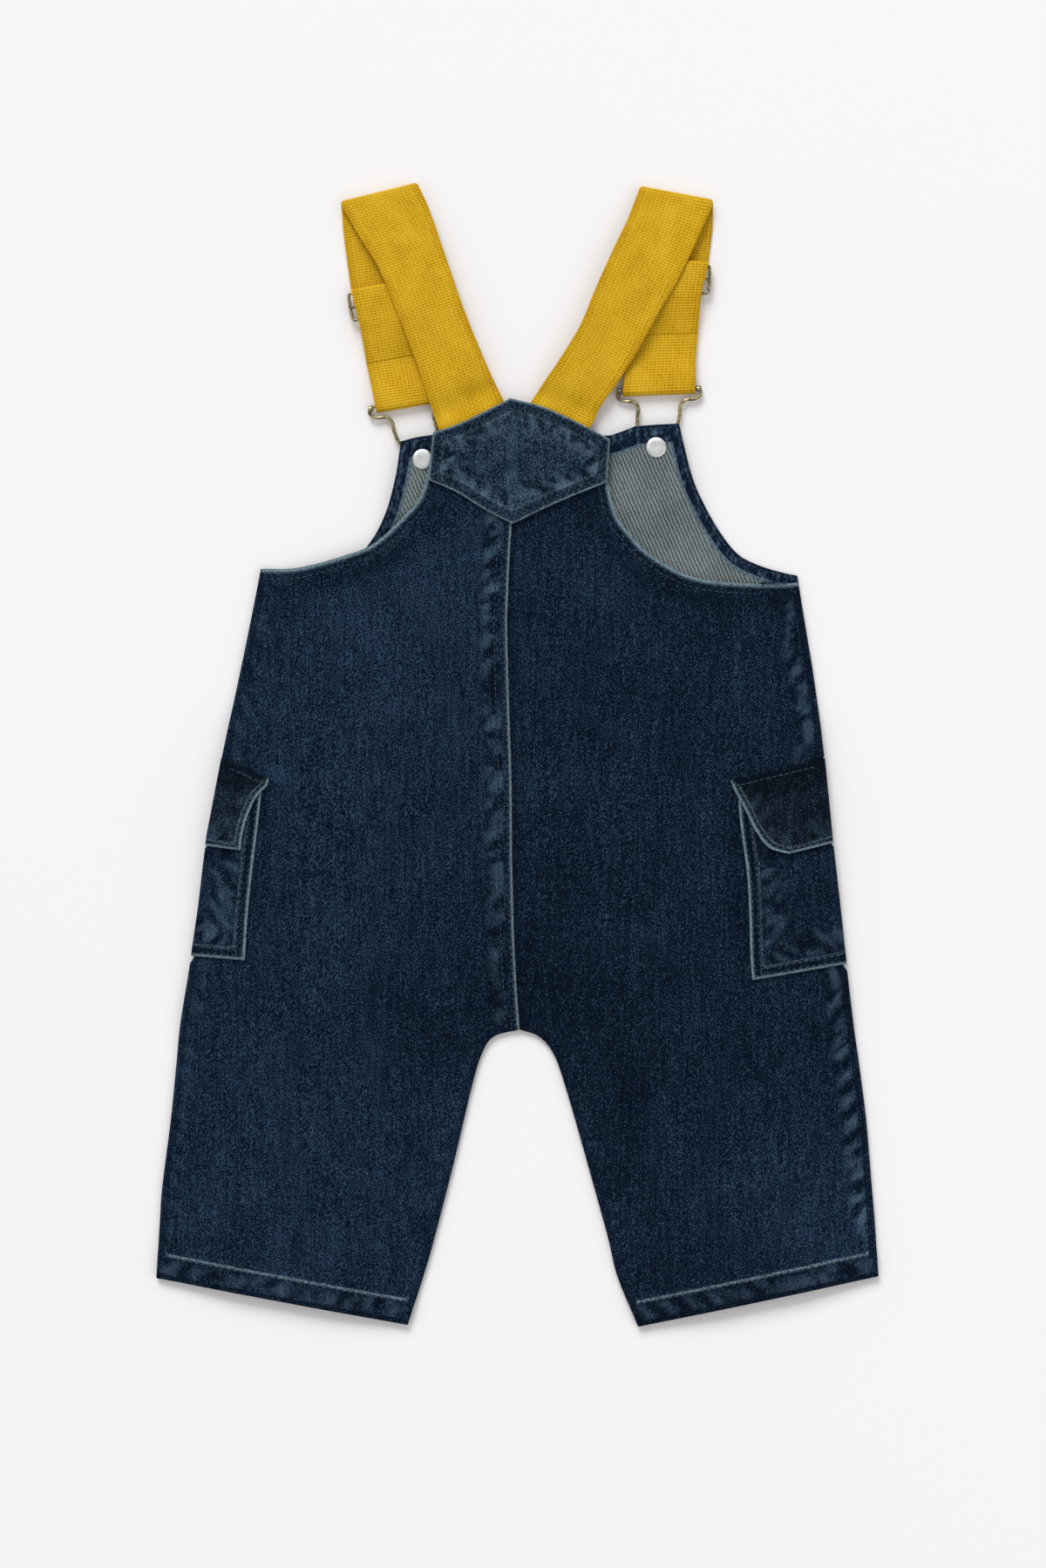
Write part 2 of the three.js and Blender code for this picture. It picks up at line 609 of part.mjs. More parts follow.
function strap(side) {
  const { back, front, sliderAt } = straps[side];
  const bottom = front[0];
  const top = front.at(-1);
  const lying = (x, y) => overFront(x, y) + webbing / 2;
  const length = runLength(front);
  const buckleLoop = 2 * (wireLevel - strapLow); // from the outer layer to the inner one
  const rows = [];
  const at = (distance, level) => {
    const r = frontRunAt(front, distance);
    rows.push(webbingRow(leftOf(r), rightOf(r), () => level));
  };
  const backRows = smoothRows(back.map((r) => ({ level: 0, ...r })), 2);
  backRows.forEach((r) => {
    const share = smooth(r.station - 1);
    rows.push(webbingRow(leftOf(r), rightOf(r), (x, y) => mix(lying(x, y), r.level, r.station <= 1 ? 0 : share)));
  });
  rows.push(...turn(leftOf(top), rightOf(top), upFrom(top), shoulderLevel, strapLow));
  for (const d of [length - 14, length - 30, sliderAt + 6, sliderAt - 18, 28, 10]) at(d, strapLow);
  const loopTop = strapLow + buckleLoop;
  rows.push(...turn(leftOf(bottom), rightOf(bottom), upFrom(bottom).negate(), strapLow, loopTop));
  at(7, loopTop);
  at(16, mix(loopTop, strapMiddle, 0.8));
  at(23, strapMiddle);
  at(sliderAt - 12, strapMiddle);
  const fold = sliderRow(side);
  rows.push(...turn(leftOf(fold), rightOf(fold), upFrom(fold), strapMiddle, strapOverSlider));
  const past = sliderAt - sliderLength;
  at(past - 1.5, strapOverSlider);
  at(past - 9, tailLevel);
  at(sliderAt - strapTail, tailLevel);
  return thicken(rows, webbing);
}

// A patch that wraps the side of the body: over the back, round the edge and under the front.
function wrapped(side, rows, topLift, bulge, underLevel, underLength) {
  const out = outward[side];
  const grid = smoothRows(rows, 2).map((r) => {
    const start = point(r.innerX, r.innerY, 0);
    const edge = point(sideX(side, r.sideY) - out * inset(r.sideY), r.sideY, 0);
    const along = edge.clone().sub(start).normalize();
    const sideUp = point(sideX(side, r.sideY + 5) - sideX(side, r.sideY - 5), 10, 0).normalize();
    const back = along.clone().negate().add(sideUp.clone().multiplyScalar(2 * along.dot(sideUp)));
    const levelOn = (p) => overFront(p.x, p.y) + denim + topLift;
    const line = [0, 0.3, 0.55, 0.78, 0.92, 1].map((t) => start.clone().lerp(edge, t));
    const over = line.map((p) => point(p.x, p.y, levelOn(p)));
    const high = levelOn(edge);
    const low = underLevel(r.sideY);
    const radius = (high - low) / 2;
    const round = [1, 2, 3, 4, 5].map((i) => {
      const angle = (Math.PI * i) / 6;
      const p = edge.clone().add(along.clone().multiplyScalar(bulge * Math.sin(angle)));
      return point(p.x, p.y, (high + low) / 2 + radius * Math.cos(angle));
    });
    const reach = underLength(r, start.distanceTo(edge));
    const under = [0, 0.35, 0.7, 1].map((t) => {
      const p = edge.clone().add(back.clone().multiplyScalar(reach * t));
      return point(p.x, p.y, low);
    });
    return [...over, ...round, ...under];
  });
  return thicken(grid, denim);
}

function pocket(side) {
  const underLevel = (y) => denim / 2 + (denim + gap) * plateau(outside(y, flapSpan.bottom, flapSpan.top), 3, 14);
  const underLength = (row, overWidth) => pocketWidth - overWidth;
  return wrapped(side, pockets[side], pocketGap + denim / 2, wrapBulge, underLevel, underLength);
}

function flap(side) {
  const lift = 2 * pocketGap + denim * 1.5;
  const bulge = wrapBulge + denim + gap;
  return wrapped(side, flaps[side], lift, bulge, () => denim / 2, (row) => row.under);
}

// A closed round wire through points in one level plane.
function wireLoop(points, radius, sides) {
  const curve = new THREE.CatmullRomCurve3(points, true, "centripetal");
  const count = points.length * 3;
  const rings = Array.from({ length: count }, (_, i) => {
    const centre = curve.getPoint(i / count);
    const tangent = curve.getTangent(i / count);
    const normal = point(-tangent.y, tangent.x, 0).normalize();
    return Array.from({ length: sides }, (_, j) => {
      const angle = (2 * Math.PI * (j + 0.5)) / sides;
      return centre
        .clone()
        .add(normal.clone().multiplyScalar(radius * Math.cos(angle)))
        .add(point(0, 0, radius * Math.sin(angle)));
    });
  });
  const positions = rings.flat().flatMap((p) => [p.x, p.y, p.z]);
  const index = [];
  for (let i = 0; i < count; i++) {
    for (let j = 0; j < sides; j++) {
      const a = i * sides + j;
      const b = i * sides + ((j + 1) % sides);
      const c = ((i + 1) % count) * sides + ((j + 1) % sides);
      const d = ((i + 1) % count) * sides + j;
      index.push(a, b, c, a, c, d);
    }
  }
  const geometry = new THREE.BufferGeometry();
  geometry.setAttribute("position", new THREE.Float32BufferAttribute(positions, 3));
  geometry.setIndex(index);
  return facingOut(geometry);
}

// A round bar along X, centred on x and y, as a closed indexed geometry.
function bar(length, radius, sides, x, y) {
  const shape = new THREE.CylinderGeometry(radius, radius, length, sides);
  return shape.rotateZ(Math.PI / 2).translate(x, y, 0);
}

function toSolid(geometry) {
  const source = geometry.clone();
  source.deleteAttribute("normal");
  source.deleteAttribute("uv");
  const merged = mergePoints(source);
  return new wasm.Manifold(new wasm.Mesh({ numProp: 3, ...merged }));
}

// Welds points that share a place, to a thousandth of a millimetre.
function mergePoints(geometry) {
  const p = geometry.getAttribute("position");
  const index = geometry.getIndex().array;
  const seen = new Map();
  const vertProperties = [];
  const renumber = [];
  for (let i = 0; i < p.count; i++) {
    const key = [p.getX(i), p.getY(i), p.getZ(i)].map((v) => Math.round(v * 1000)).join();
    if (!seen.has(key)) {
      seen.set(key, seen.size);
      vertProperties.push(p.getX(i), p.getY(i), p.getZ(i));
    }
    renumber.push(seen.get(key));
  }
  const triangles = [];
  for (let i = 0; i < index.length; i += 3) {
    const [a, b, c] = [index[i], index[i + 1], index[i + 2]].map((v) => renumber[v]);
    if (a !== b && b !== c && a !== c) triangles.push(a, b, c);
  }
  return { vertProperties: new Float32Array(vertProperties), triVerts: new Uint32Array(triangles) };
}

function joined(geometries) {
  const mesh = geometries
    .map(toSolid)
    .reduce((a, b) => a.add(b))
    .getMesh();
  const geometry = new THREE.BufferGeometry();
  geometry.setAttribute("position", new THREE.BufferAttribute(mesh.vertProperties, 3));
  geometry.setIndex(new THREE.BufferAttribute(mesh.triVerts, 1));
  geometry.computeVertexNormals();
  return geometry;
}

// Bib buckle: one bent wire, from the strap's bar down to a keyhole round the button's shank.
// It is drawn with its bar on X and the button towards -Y, then turned into place. The lower
// part leans, because the button isn't quite in line with the strap.
const buckleHalf = [
  { x: 19.6, y: 0 },
  { x: 20.4, y: -2.4 },
  { x: 18.2, y: -4.6 },
  { x: 13, y: -5.4 },
  { x: 10.6, y: -7.6 },
  { x: 10.4, y: -13 },
  { x: 9.6, y: -18.5 },
];
const keyholeRadius = 4.9;
const collarLength = 2.6;
const collarRadius = 1.5;

function buckle(shank) {
  const right = buckleHalf.map(({ x, y }) => point(x, y, 0));
  const left = [...buckleHalf].reverse().map(({ x, y }) => point(-x, y, 0));
  const centreY = shank.y + keyholeRadius - wireRadius - shankRadius - gap;
  const keyhole = [-0.1, -0.25, -0.5, -0.75, -0.9].map((share) => {
    const angle = Math.PI * share;
    return point(keyholeRadius * Math.cos(angle), centreY + keyholeRadius * Math.sin(angle), 0);
  });
  const top = [point(-12, 0, 0), point(0, 0, 0), point(12, 0, 0)];
  const outline = [...right, ...keyhole, ...left, ...top];
  for (const p of outline) p.x += shank.x * smooth((-4 - p.y) / (-4 - shank.y));
  const loop = wireLoop(outline, wireRadius, 8);
  const collars = [-1, 1].map((s) => bar(collarLength, collarRadius, 8, s * 19.6, 0));
  return joined([loop, ...collars]);
}

function slider() {
  const halfWidth = sliderWidth / 2 - sliderRadius;
  const halfLength = sliderLength / 2 - sliderRadius;
  const corner = 1.2;
  const quarter = [
    point(halfWidth, halfLength - corner, 0),
    point(halfWidth - corner * 0.3, halfLength - corner * 0.3, 0),
    point(halfWidth - corner, halfLength, 0),
    point(halfWidth * 0.7, halfLength, 0),
  ];
  const flipX = (p) => point(-p.x, p.y, 0);
  const flipY = (p) => point(p.x, -p.y, 0);
  const topLeft = [...quarter].reverse().map(flipX);
  const bottomLeft = quarter.map((p) => flipY(flipX(p)));
  const bottomRight = [...quarter].reverse().map(flipY);
  const loop = wireLoop([...quarter, ...topLeft, ...bottomLeft, ...bottomRight], sliderRadius, 8);
  return joined([loop, bar(2 * halfWidth, sliderRadius, 8, 0, 0)]);
}

function button() {
  const rim = 0.4;
  const profile = [
    [0, 0],
    [buttonRadius - rim, 0],
    [buttonRadius, rim],
    [buttonRadius, buttonCap - rim],
    [buttonRadius - rim, buttonCap],
    [shankRadius, buttonCap],
    [shankRadius, bibLift - gap],
    [0, bibLift - gap],
  ].map(([r, z]) => new THREE.Vector2(r, z));
  return lathe(profile, 24);
}

function tack() {
  const low = bibLift + denim + gap;
  const profile = [
    [0, low],
    [tackRadius, low],
    [tackRadius, low + tackHeight * 0.4],
    [tackRadius * 0.8, low + tackHeight * 0.85],
    [tackRadius * 0.4, low + tackHeight],
    [0, low + tackHeight],
  ].map(([r, z]) => new THREE.Vector2(r, z));
  return lathe(profile, 20);
}

const lathe = (profile, segments) => new THREE.LatheGeometry(profile, segments).rotateX(Math.PI / 2);

const finishes = {
  denimFace: new THREE.MeshStandardMaterial({ color: 0x1b2e45, roughness: 0.95 }),
  denimDark: new THREE.MeshStandardMaterial({ color: 0x182739, roughness: 0.95 }),
  denimInside: new THREE.MeshStandardMaterial({ color: 0x6c7576, roughness: 0.95 }),
  mustardWebbing: new THREE.MeshStandardMaterial({ color: 0xd3a827, roughness: 0.9 }),
  agedBrass: new THREE.MeshStandardMaterial({ color: 0x8a7a55, roughness: 0.4, metalness: 1 }),
  nickel: new THREE.MeshStandardMaterial({ color: 0xd3d6d4, roughness: 0.3, metalness: 1 }),
};

// Where a bar lies in a turn of webbing, and the bar's own turn about Z.
function barPlace(row, level, radius) {
  const inwards = upFrom(row).multiplyScalar(radius + webbing / 2);
  const end = row === straps.left.front[0] || row === straps.right.front[0] ? 1 : -1;
  const at = centreOf(row).add(inwards.multiplyScalar(end)).setZ(level);
  at.turn = Math.atan2(acrossOf(row).y, acrossOf(row).x);
  return at;
}

const garment = new THREE.Group();

function addPiece(name, geometry, material, place) {
  const mesh = new THREE.Mesh(geometry, material);
  mesh.name = name;
  if (place) {
    mesh.position.set(place.x, place.y, place.z ?? 0);
    mesh.rotation.z = place.turn ?? 0;
  }
  garment.add(mesh);
}

for (const side of ["left", "right"]) {
  addPiece(`back_${side}`, backPanel(side), finishes.denimFace);
  addPiece(`front_leg_${side}`, frontLeg(side), finishes.denimFace);
  addPiece(`strap_${side}`, strap(side), finishes.mustardWebbing);
  addPiece(`pocket_${side}`, pocket(side), finishes.denimFace);
  addPiece(`pocket_flap_${side}`, flap(side), finishes.denimDark);

  const shank = point(buttons[side].x, buttons[side].y, 0);
  const lowBar = barPlace(straps[side].front[0], wireLevel, wireLevel - strapLow);
  const local = shank.clone().setZ(wireLevel).sub(lowBar);
  local.applyAxisAngle(point(0, 0, 1), -lowBar.turn);
  addPiece(`buckle_${side}`, buckle(local), finishes.agedBrass, lowBar);

  const topBar = barPlace(sliderRow(side), sliderLevel, sliderLevel - strapMiddle);
  const down = point(0, sliderRadius - sliderLength / 2, 0).applyAxisAngle(point(0, 0, 1), topBar.turn);
  addPiece(`slider_${side}`, slider(), finishes.agedBrass, {
    x: topBar.x + down.x,
    y: topBar.y + down.y,
    z: sliderLevel,
    turn: topBar.turn,
  });
  addPiece(`button_${side}`, button(), finishes.nickel, shank);
  addPiece(`button_tack_${side}`, tack(), finishes.nickel, shank);
}
addPiece("bib", bib(), finishes.denimInside);
addPiece("yoke", yoke(), finishes.denimDark);

export default garment;
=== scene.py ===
# Baby's denim dungarees laid flat with the back up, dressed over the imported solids.
# Sizes are in millimetres until a mesh is made. +Y runs from the leg hems to the straps.
import math
from functools import partial

import bmesh
import bpy
import numpy as np
from mathutils import Matrix, Vector, noise


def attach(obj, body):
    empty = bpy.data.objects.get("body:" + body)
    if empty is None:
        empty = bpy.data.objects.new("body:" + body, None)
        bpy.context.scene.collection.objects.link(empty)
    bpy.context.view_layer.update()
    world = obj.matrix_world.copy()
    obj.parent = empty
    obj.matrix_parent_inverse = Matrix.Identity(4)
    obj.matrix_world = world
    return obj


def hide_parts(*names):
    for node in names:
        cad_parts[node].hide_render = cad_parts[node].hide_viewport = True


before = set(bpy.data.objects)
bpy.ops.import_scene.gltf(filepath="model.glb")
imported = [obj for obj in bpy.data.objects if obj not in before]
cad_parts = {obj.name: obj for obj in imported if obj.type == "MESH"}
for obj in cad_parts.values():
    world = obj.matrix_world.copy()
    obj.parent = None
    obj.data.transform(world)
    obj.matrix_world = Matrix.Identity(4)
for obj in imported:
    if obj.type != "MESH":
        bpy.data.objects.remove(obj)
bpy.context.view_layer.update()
print("frame loaded:", len(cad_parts), "nodes")

# Camera straight over the garment, and the same field as the photograph's.
shot = {"centre": (2.8, -14.4), "tall": 773.6, "lens": 100.0, "sensor": 36.0}
cameraData = bpy.data.cameras.new("overhead")
cameraData.lens = shot["lens"]
cameraData.sensor_width = shot["sensor"]
camera = bpy.data.objects.new("overhead", cameraData)
camera.location = (
    shot["centre"][0] / 1000,
    shot["centre"][1] / 1000,
    shot["tall"] / 1000 * shot["lens"] / shot["sensor"] + 0.004,
)
bpy.context.collection.objects.link(camera)
bpy.context.scene.camera = camera

# The garment's own sizes, the same as the solids'
cloth = {
    "denim": 1.0,
    "webbing": 1.2,
    "gap": 0.3,
    "hemDepth": 12.0,
    "hemRaise": 0.5,
    "felledWidth": 8.0,
    "felledRaise": 0.5,
    "felledFrom": -136.0,  # Y of the crotch
    "bindDepth": 8.0,
    "bindRaise": 0.3,
    "puffHeight": 2.6,
    "puffReach": 45.0,
    "yokeLift": 1.8,
    "pocketWidth": 80.0,
    "pocketInset": 1.7,
    "flapInset": 1.2,
    "wrapBulge": 1.4,
    "pocketGap": 0.45,
    "grid": 2.0,  # size of one face of the cloth
}
wire = {"buckle": 0.9, "slider": 0.8}
button = {"radius": 8.5, "cap": 1.3, "shank": 2.5, "tackRadius": 5.0, "tackHeight": 0.8}
bibLift = button["cap"] + cloth["gap"] + 2 * wire["buckle"] + cloth["gap"]
wireLevel = button["cap"] + cloth["gap"] + wire["buckle"]
buttons = {"left": (-46.7, 145.8), "right": (68.5, 151.6)}
outward = {"left": -1.0, "right": 1.0}

# Each row: inner end x and y, outer end x and y, and 1 at a corner.
halfRows = {
    "right": [
        (59.6, -282.3, 178.2, -257.4, 0),
        (49.2, -257.4, 176.5, -231, 0),
        (44.5, -238, 175, -213, 0),
        (33.8, -199.3, 172.2, -180, 0),
        (23.9, -164.9, 168.5, -151, 0),
        (17.8, -147.7, 166.5, -137, 0),
        (10.5, -139.1, 164.8, -124, 0),
        (1.1, -135.7, 163.2, -110, 1),
        (-1.1, -100.4, 159.5, -76, 0),
        (-2.4, -57.4, 155.4, -41, 0),
        (-2.8, -14.4, 151.5, -2, 0),
        (-4.1, 28.6, 147, 34, 0),
        (-4.9, 62, 142.5, 62, 0),
        (-4.5, 78, 138.7, 84.9, 1),
        (-4.2, 86, 115.9, 84.5, 0),
        (-3.7, 96, 87.5, 87.5, 0),
        (-3.1, 106, 66.1, 98.5, 0),
        (-2.8, 111, 55.5, 109.1, 0),
        (-2.6, 116, 48.3, 119.8, 0),
        (-2.5, 122.5, 43.5, 141.5, 1),
    ],
    "left": [
        (-54, -281.4, -178.2, -258.2, 0),
        (-46.2, -257.4, -176.6, -232, 0),
        (-40.6, -238, -175.3, -213, 0),
        (-30.7, -199.3, -171.1, -180, 0),
        (-22.6, -164.9, -168.2, -151, 0),
        (-17.4, -147.7, -166.9, -137, 0),
        (-11.4, -139.1, -165, -124, 0),
        (1.1, -135.7, -162.6, -110, 1),
        (-1.1, -100.4, -157.6, -76, 0),
        (-2.4, -57.4, -153.3, -41, 0),
        (-2.8, -14.4, -145.9, -2, 0),
        (-4.1, 28.6, -138.3, 34, 0),
        (-4.9, 62, -132.5, 62, 0),
        (-4.5, 78, -126.6, 91.8, 1),
        (-4.2, 86, -107.3, 92.5, 0),
        (-3.7, 96, -78.9, 100.4, 0),
        (-3.3, 103, -67.3, 106.9, 0),
        (-2.9, 109, -55.7, 118, 0),
        (-2.7, 114, -47.9, 127.5, 0),
        (-2.5, 122.5, -43.2, 143.5, 1),
    ],
}
crotchRow, waistRow, cornerRow = 7, 12, 13

# Soft folds of the back: x, y, angle from +X, length, width, height.
folds = [
    (42, -128, 38, 95, 15, 1.3),
    (62, -168, 70, 90, 13, -1.1),
    (-40, -132, 140, 80, 14, 1.1),
    (-88, -190, 97, 120, 16, 0.9),
    (118, -190, 84, 110, 14, 0.9),
    (70, 48, 62, 110, 17, 1),
    (-62, 20, 99, 140, 18, 0.9),
    (34, -40, 92, 120, 15, -0.7),
]
# How far from its middle or edge each form stays flat, and the length that it then fades over.
fades = {
    "pocketAlong": (12, 20),
    "pocketUnder": (10, 20),
    "buttonAcross": (13, 24),
    "buttonAlong": (12, 36),
    "tack": (8, 14),
    "fold": (6, 24),
    "hem": 1.6,
    "band": 1.2,
}
pocketSpan = (-112.0, -2.0)
flapSpan = (-49.0, -2.0)
underReach = {"left": 60.0, "right": 38.0}
# the same two spans where they meet each side, and a little more
sideSpans = {
    "left": {"pocket": (-99.8, -2.0), "flap": (-45.7, -2.0)},
    "right": {"pocket": (-103.9, -1.6), "flap": (-44.6, -1.6)},
}
spanFade = 0.7


def smooth(share):
    share = np.clip(share, 0, 1)
    return share * share * (3 - 2 * share)


def plateau(distance, flat, fade):
    return 1 - smooth((distance - flat) / fade)


def outside(value, low, high):
    return np.maximum(np.maximum(low - value, value - high), 0)


# A table read at any station, curved through its rows but sharp at corners.
def readRows(rows, stations, columns=4):
    values = np.array([row[:columns] for row in rows], float)
    corner = [bool(row[columns]) if len(row) > columns else False for row in rows]
    last = len(rows) - 1
    first = np.clip(np.floor(stations).astype(int), 0, last - 1)
    share = (stations - first)[:, None]
    step = np.diff(values, axis=0)
    inSlope, outSlope = step.copy(), step.copy()
    for i in range(last):
        if i > 0 and not corner[i]:
            inSlope[i] = (values[i + 1] - values[i - 1]) / 2
        if i + 1 < last and not corner[i + 1]:
            outSlope[i] = (values[i + 2] - values[i]) / 2
    a, b = values[first], values[first + 1]
    square, cube = share**2, share**3
    return (
        (2 * cube - 3 * square + 1) * a
        + (cube - 2 * square + share) * inSlope[first]
        + (3 * square - 2 * cube) * b
        + (cube - square) * outSlope[first]
    )


# Stations about one face apart, with every corner of the table kept.
def evenStations(rows, last, size, columns=4):
    fine = np.linspace(0, last, last * 40 + 1)
    values = readRows(rows, fine, columns)
    steps = np.abs(np.diff(values, axis=0)).max(axis=1)
    run = np.concatenate([[0], np.cumsum(steps)])
    count = max(int(run[-1] / size), 4)
    stations = np.interp(np.linspace(0, run[-1], count + 1), run, fine)
    for i, row in enumerate(rows[: last + 1]):
        if len(row) > columns and row[columns]:
            stations[np.abs(stations - i).argmin()] = i
    return stations


# Distance from each point to a line, and how far along the line that is.
def nearLine(points, line):
    start, step = line[:-1], np.diff(line, axis=0)
    length = np.linalg.norm(step, axis=1)
    begun = np.concatenate([[0], np.cumsum(length)[:-1]])
    offset = points[:, None, :] - start[None]
    share = np.clip((offset * step).sum(2) / np.maximum(length**2, 1e-9), 0, 1)
    away = np.linalg.norm(offset - share[..., None] * step, axis=2)
    best = away.argmin(1)
    every = np.arange(len(points))
    return away[every, best], begun[best] + share[every, best] * length[best]


sideLine = {
    side: np.array([(row[3], row[2]) for row in halfRows[side][: cornerRow + 1]])
    for side in outward
}


def sideX(side, y):
    return np.interp(y, sideLine[side][:, 0], sideLine[side][:, 1])


def inset(side, y):
    spans = sideSpans[side]
    pocket = cloth["pocketInset"] * plateau(outside(y, *spans["pocket"]), 0, spanFade)
    return pocket + cloth["flapInset"] * plateau(outside(y, *spans["flap"]), 0, spanFade)


def pocketShare(x, y, span):
    along = plateau(outside(y, *span), *fades["pocketAlong"])
    more, fade = fades["pocketUnder"]
    reach = [
        plateau(outward[side] * (sideX(side, y) - x), underReach[side] + more, fade)
        for side in outward
    ]
    return along * np.maximum(*reach)


def buttonShare(x, y):
    total = sum(
        plateau(np.abs(x - at[0]), *fades["buttonAcross"]) * plateau(at[1] - y, *fades["buttonAlong"])
        for at in buttons.values()
    )
    return np.minimum(total, 1)


def tackShare(x, y):
    return np.maximum(*[plateau(np.hypot(x - at[0], y - at[1]), *fades["tack"]) for at in buttons.values()])


def frontBottom(x, y):
    layer = cloth["denim"] + cloth["gap"]
    pockets = pocketShare(x, y, pocketSpan) + pocketShare(x, y, flapSpan)
    return layer * pockets + bibLift * buttonShare(x, y)


inseam = [row[:2] for row in halfRows["left"][: crotchRow + 1]]
inseam += [row[:2] for row in halfRows["right"][crotchRow - 1 :: -1]]
outlines = [sideLine["left"][:, ::-1], sideLine["right"][:, ::-1], np.array(inseam)]


def edgeDistance(x, y):
    points = np.stack([x, y], axis=1)
    return np.min([nearLine(points, line)[0] for line in outlines], axis=0)


def foldHeight(x, y):
    height = np.zeros_like(x)
    for foldX, foldY, angle, length, width, rise in folds:
        turn = math.radians(angle)
        dx, dy = x - foldX, y - foldY
        along = dx * math.cos(turn) + dy * math.sin(turn)
        across = -dx * math.sin(turn) + dy * math.cos(turn)
        ends = plateau(np.abs(along), length * 0.15, length * 0.35)
        height += rise * ends * np.exp(-((across / width) ** 2))
    return height


# Extra height of the turned leg hem.
def hemAt(x, y):
    height = np.zeros_like(x)
    for side, rows in halfRows.items():
        innerX, innerY, outerX, outerY, _ = rows[0]
        length = math.hypot(outerX - innerX, outerY - innerY)
        away = np.abs((outerX - innerX) * (y - innerY) - (outerY - innerY) * (x - innerX)) / length
        here = (x < 0) == (side == "left")
        raised = cloth["hemRaise"] * plateau(away, cloth["hemDepth"], fades["hem"])
        height = np.where(here, raised, height)
    return height


# Underside of what lies on the front: the back, or the end of a strap.
def overFront(x, y):
    distance = edgeDistance(x, y)
    flatEdge, rise = fades["fold"]
    puff = cloth["puffHeight"] * smooth(distance / cloth["puffReach"]) * (1 - buttonShare(x, y))
    fold = foldHeight(x, y) * smooth((distance - flatEdge) / rise)
    tack = (cloth["gap"] + button["tackHeight"]) * tackShare(x, y)
    return frontBottom(x, y) + cloth["denim"] + cloth["gap"] + hemAt(x, y) + puff + fold + tack


# Mesh and material helpers
def hexColour(code):
    parts = [int(code[i : i + 2], 16) / 255 for i in (1, 3, 5)]
    linear = [p / 12.92 if p <= 0.04045 else ((p + 0.055) / 1.055) ** 2.4 for p in parts]
    return (*linear, 1.0)


# Sets a node's inputs; sockets is {input name or number: value, or another node's output}.
def setSockets(node, sockets):
    for key, value in sockets.items():
        if isinstance(value, bpy.types.NodeSocket):
            node.id_data.links.new(value, node.inputs[key])
        else:
            node.inputs[key].default_value = value


# Adds a node with its settings and links, and gives one of its outputs. Stops are the places
# and colours of a ramp, in rising order.
def addNode(tree, kind, sockets=None, out=0, stops=(), **settings):
    made = tree.nodes.new("ShaderNode" + kind)
    for key, value in settings.items():
        setattr(made, key, value)
    if stops:
        steps = made.color_ramp.elements
        steps[1].position = stops[-1][0]
        steps[0].position = stops[0][0]
        for position, _ in stops[1:-1]:
            steps.new(position)
        for step, (_, code) in zip(steps, stops):
            step.color = hexColour(code)
    setSockets(made, sockets or {})
    return made.outputs[out]


# A new material, addNode for its tree, and its shader.
def newMaterial(name):
    material = bpy.data.materials.new(name)
    material.use_nodes = True
    tree = material.node_tree
    return material, partial(addNode, tree), tree.nodes["Principled BSDF"]


def finishMesh(bm, name):
    mesh = bpy.data.meshes.new(name)
    bm.to_mesh(mesh)
    bm.free()
    return mesh


def placePiece(name, mesh, materials, nodes, smoothAngle=None):
    for material in materials:
        mesh.materials.append(material)
    piece = bpy.data.objects.new(name, mesh)
    bpy.context.collection.objects.link(piece)
    mesh.polygons.foreach_set("use_smooth", [True] * len(mesh.polygons))
    if smoothAngle:
        mesh.set_sharp_from_angle(angle=math.radians(smoothAngle))
    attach(piece, "root")
    if nodes:
        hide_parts(*nodes)
    return piece


# A grid of cloth, moved point by point to place, an array of rows, columns and x, y, z. The
# facts are attributes that its material reads.
def clothMesh(name, place, facts, faceDown=False):
    rows, columns = place.shape[:2]
    bm = bmesh.new()
    bmesh.ops.create_grid(bm, x_segments=columns - 1, y_segments=rows - 1, size=0.5)
    order = np.zeros(len(bm.verts), int)
    for vert in bm.verts:
        column = round((vert.co.x + 0.5) * (columns - 1))
        row = round((vert.co.y + 0.5) * (rows - 1))
        order[vert.index] = row * columns + column
        vert.co = Vector(place[row, column]) / 1000
    bm.normal_update()
    upward = sum(face.calc_area() * face.normal.z for face in bm.faces)
    if (upward < 0) != faceDown:
        bmesh.ops.reverse_faces(bm, faces=bm.faces)
    mesh = finishMesh(bm, name)
    for key, values in facts.items():
        attribute = mesh.attributes.new(key, "FLOAT_VECTOR", "POINT")
        attribute.data.foreach_set("vector", values.reshape(-1, 3)[order].ravel())
    return mesh


def addWall(piece, thickness, offset=-1.0, inner=0):
    wall = piece.modifiers.new("wall", "SOLIDIFY")
    wall.thickness = thickness / 1000
    wall.offset = offset
    wall.material_offset = inner
    return wall


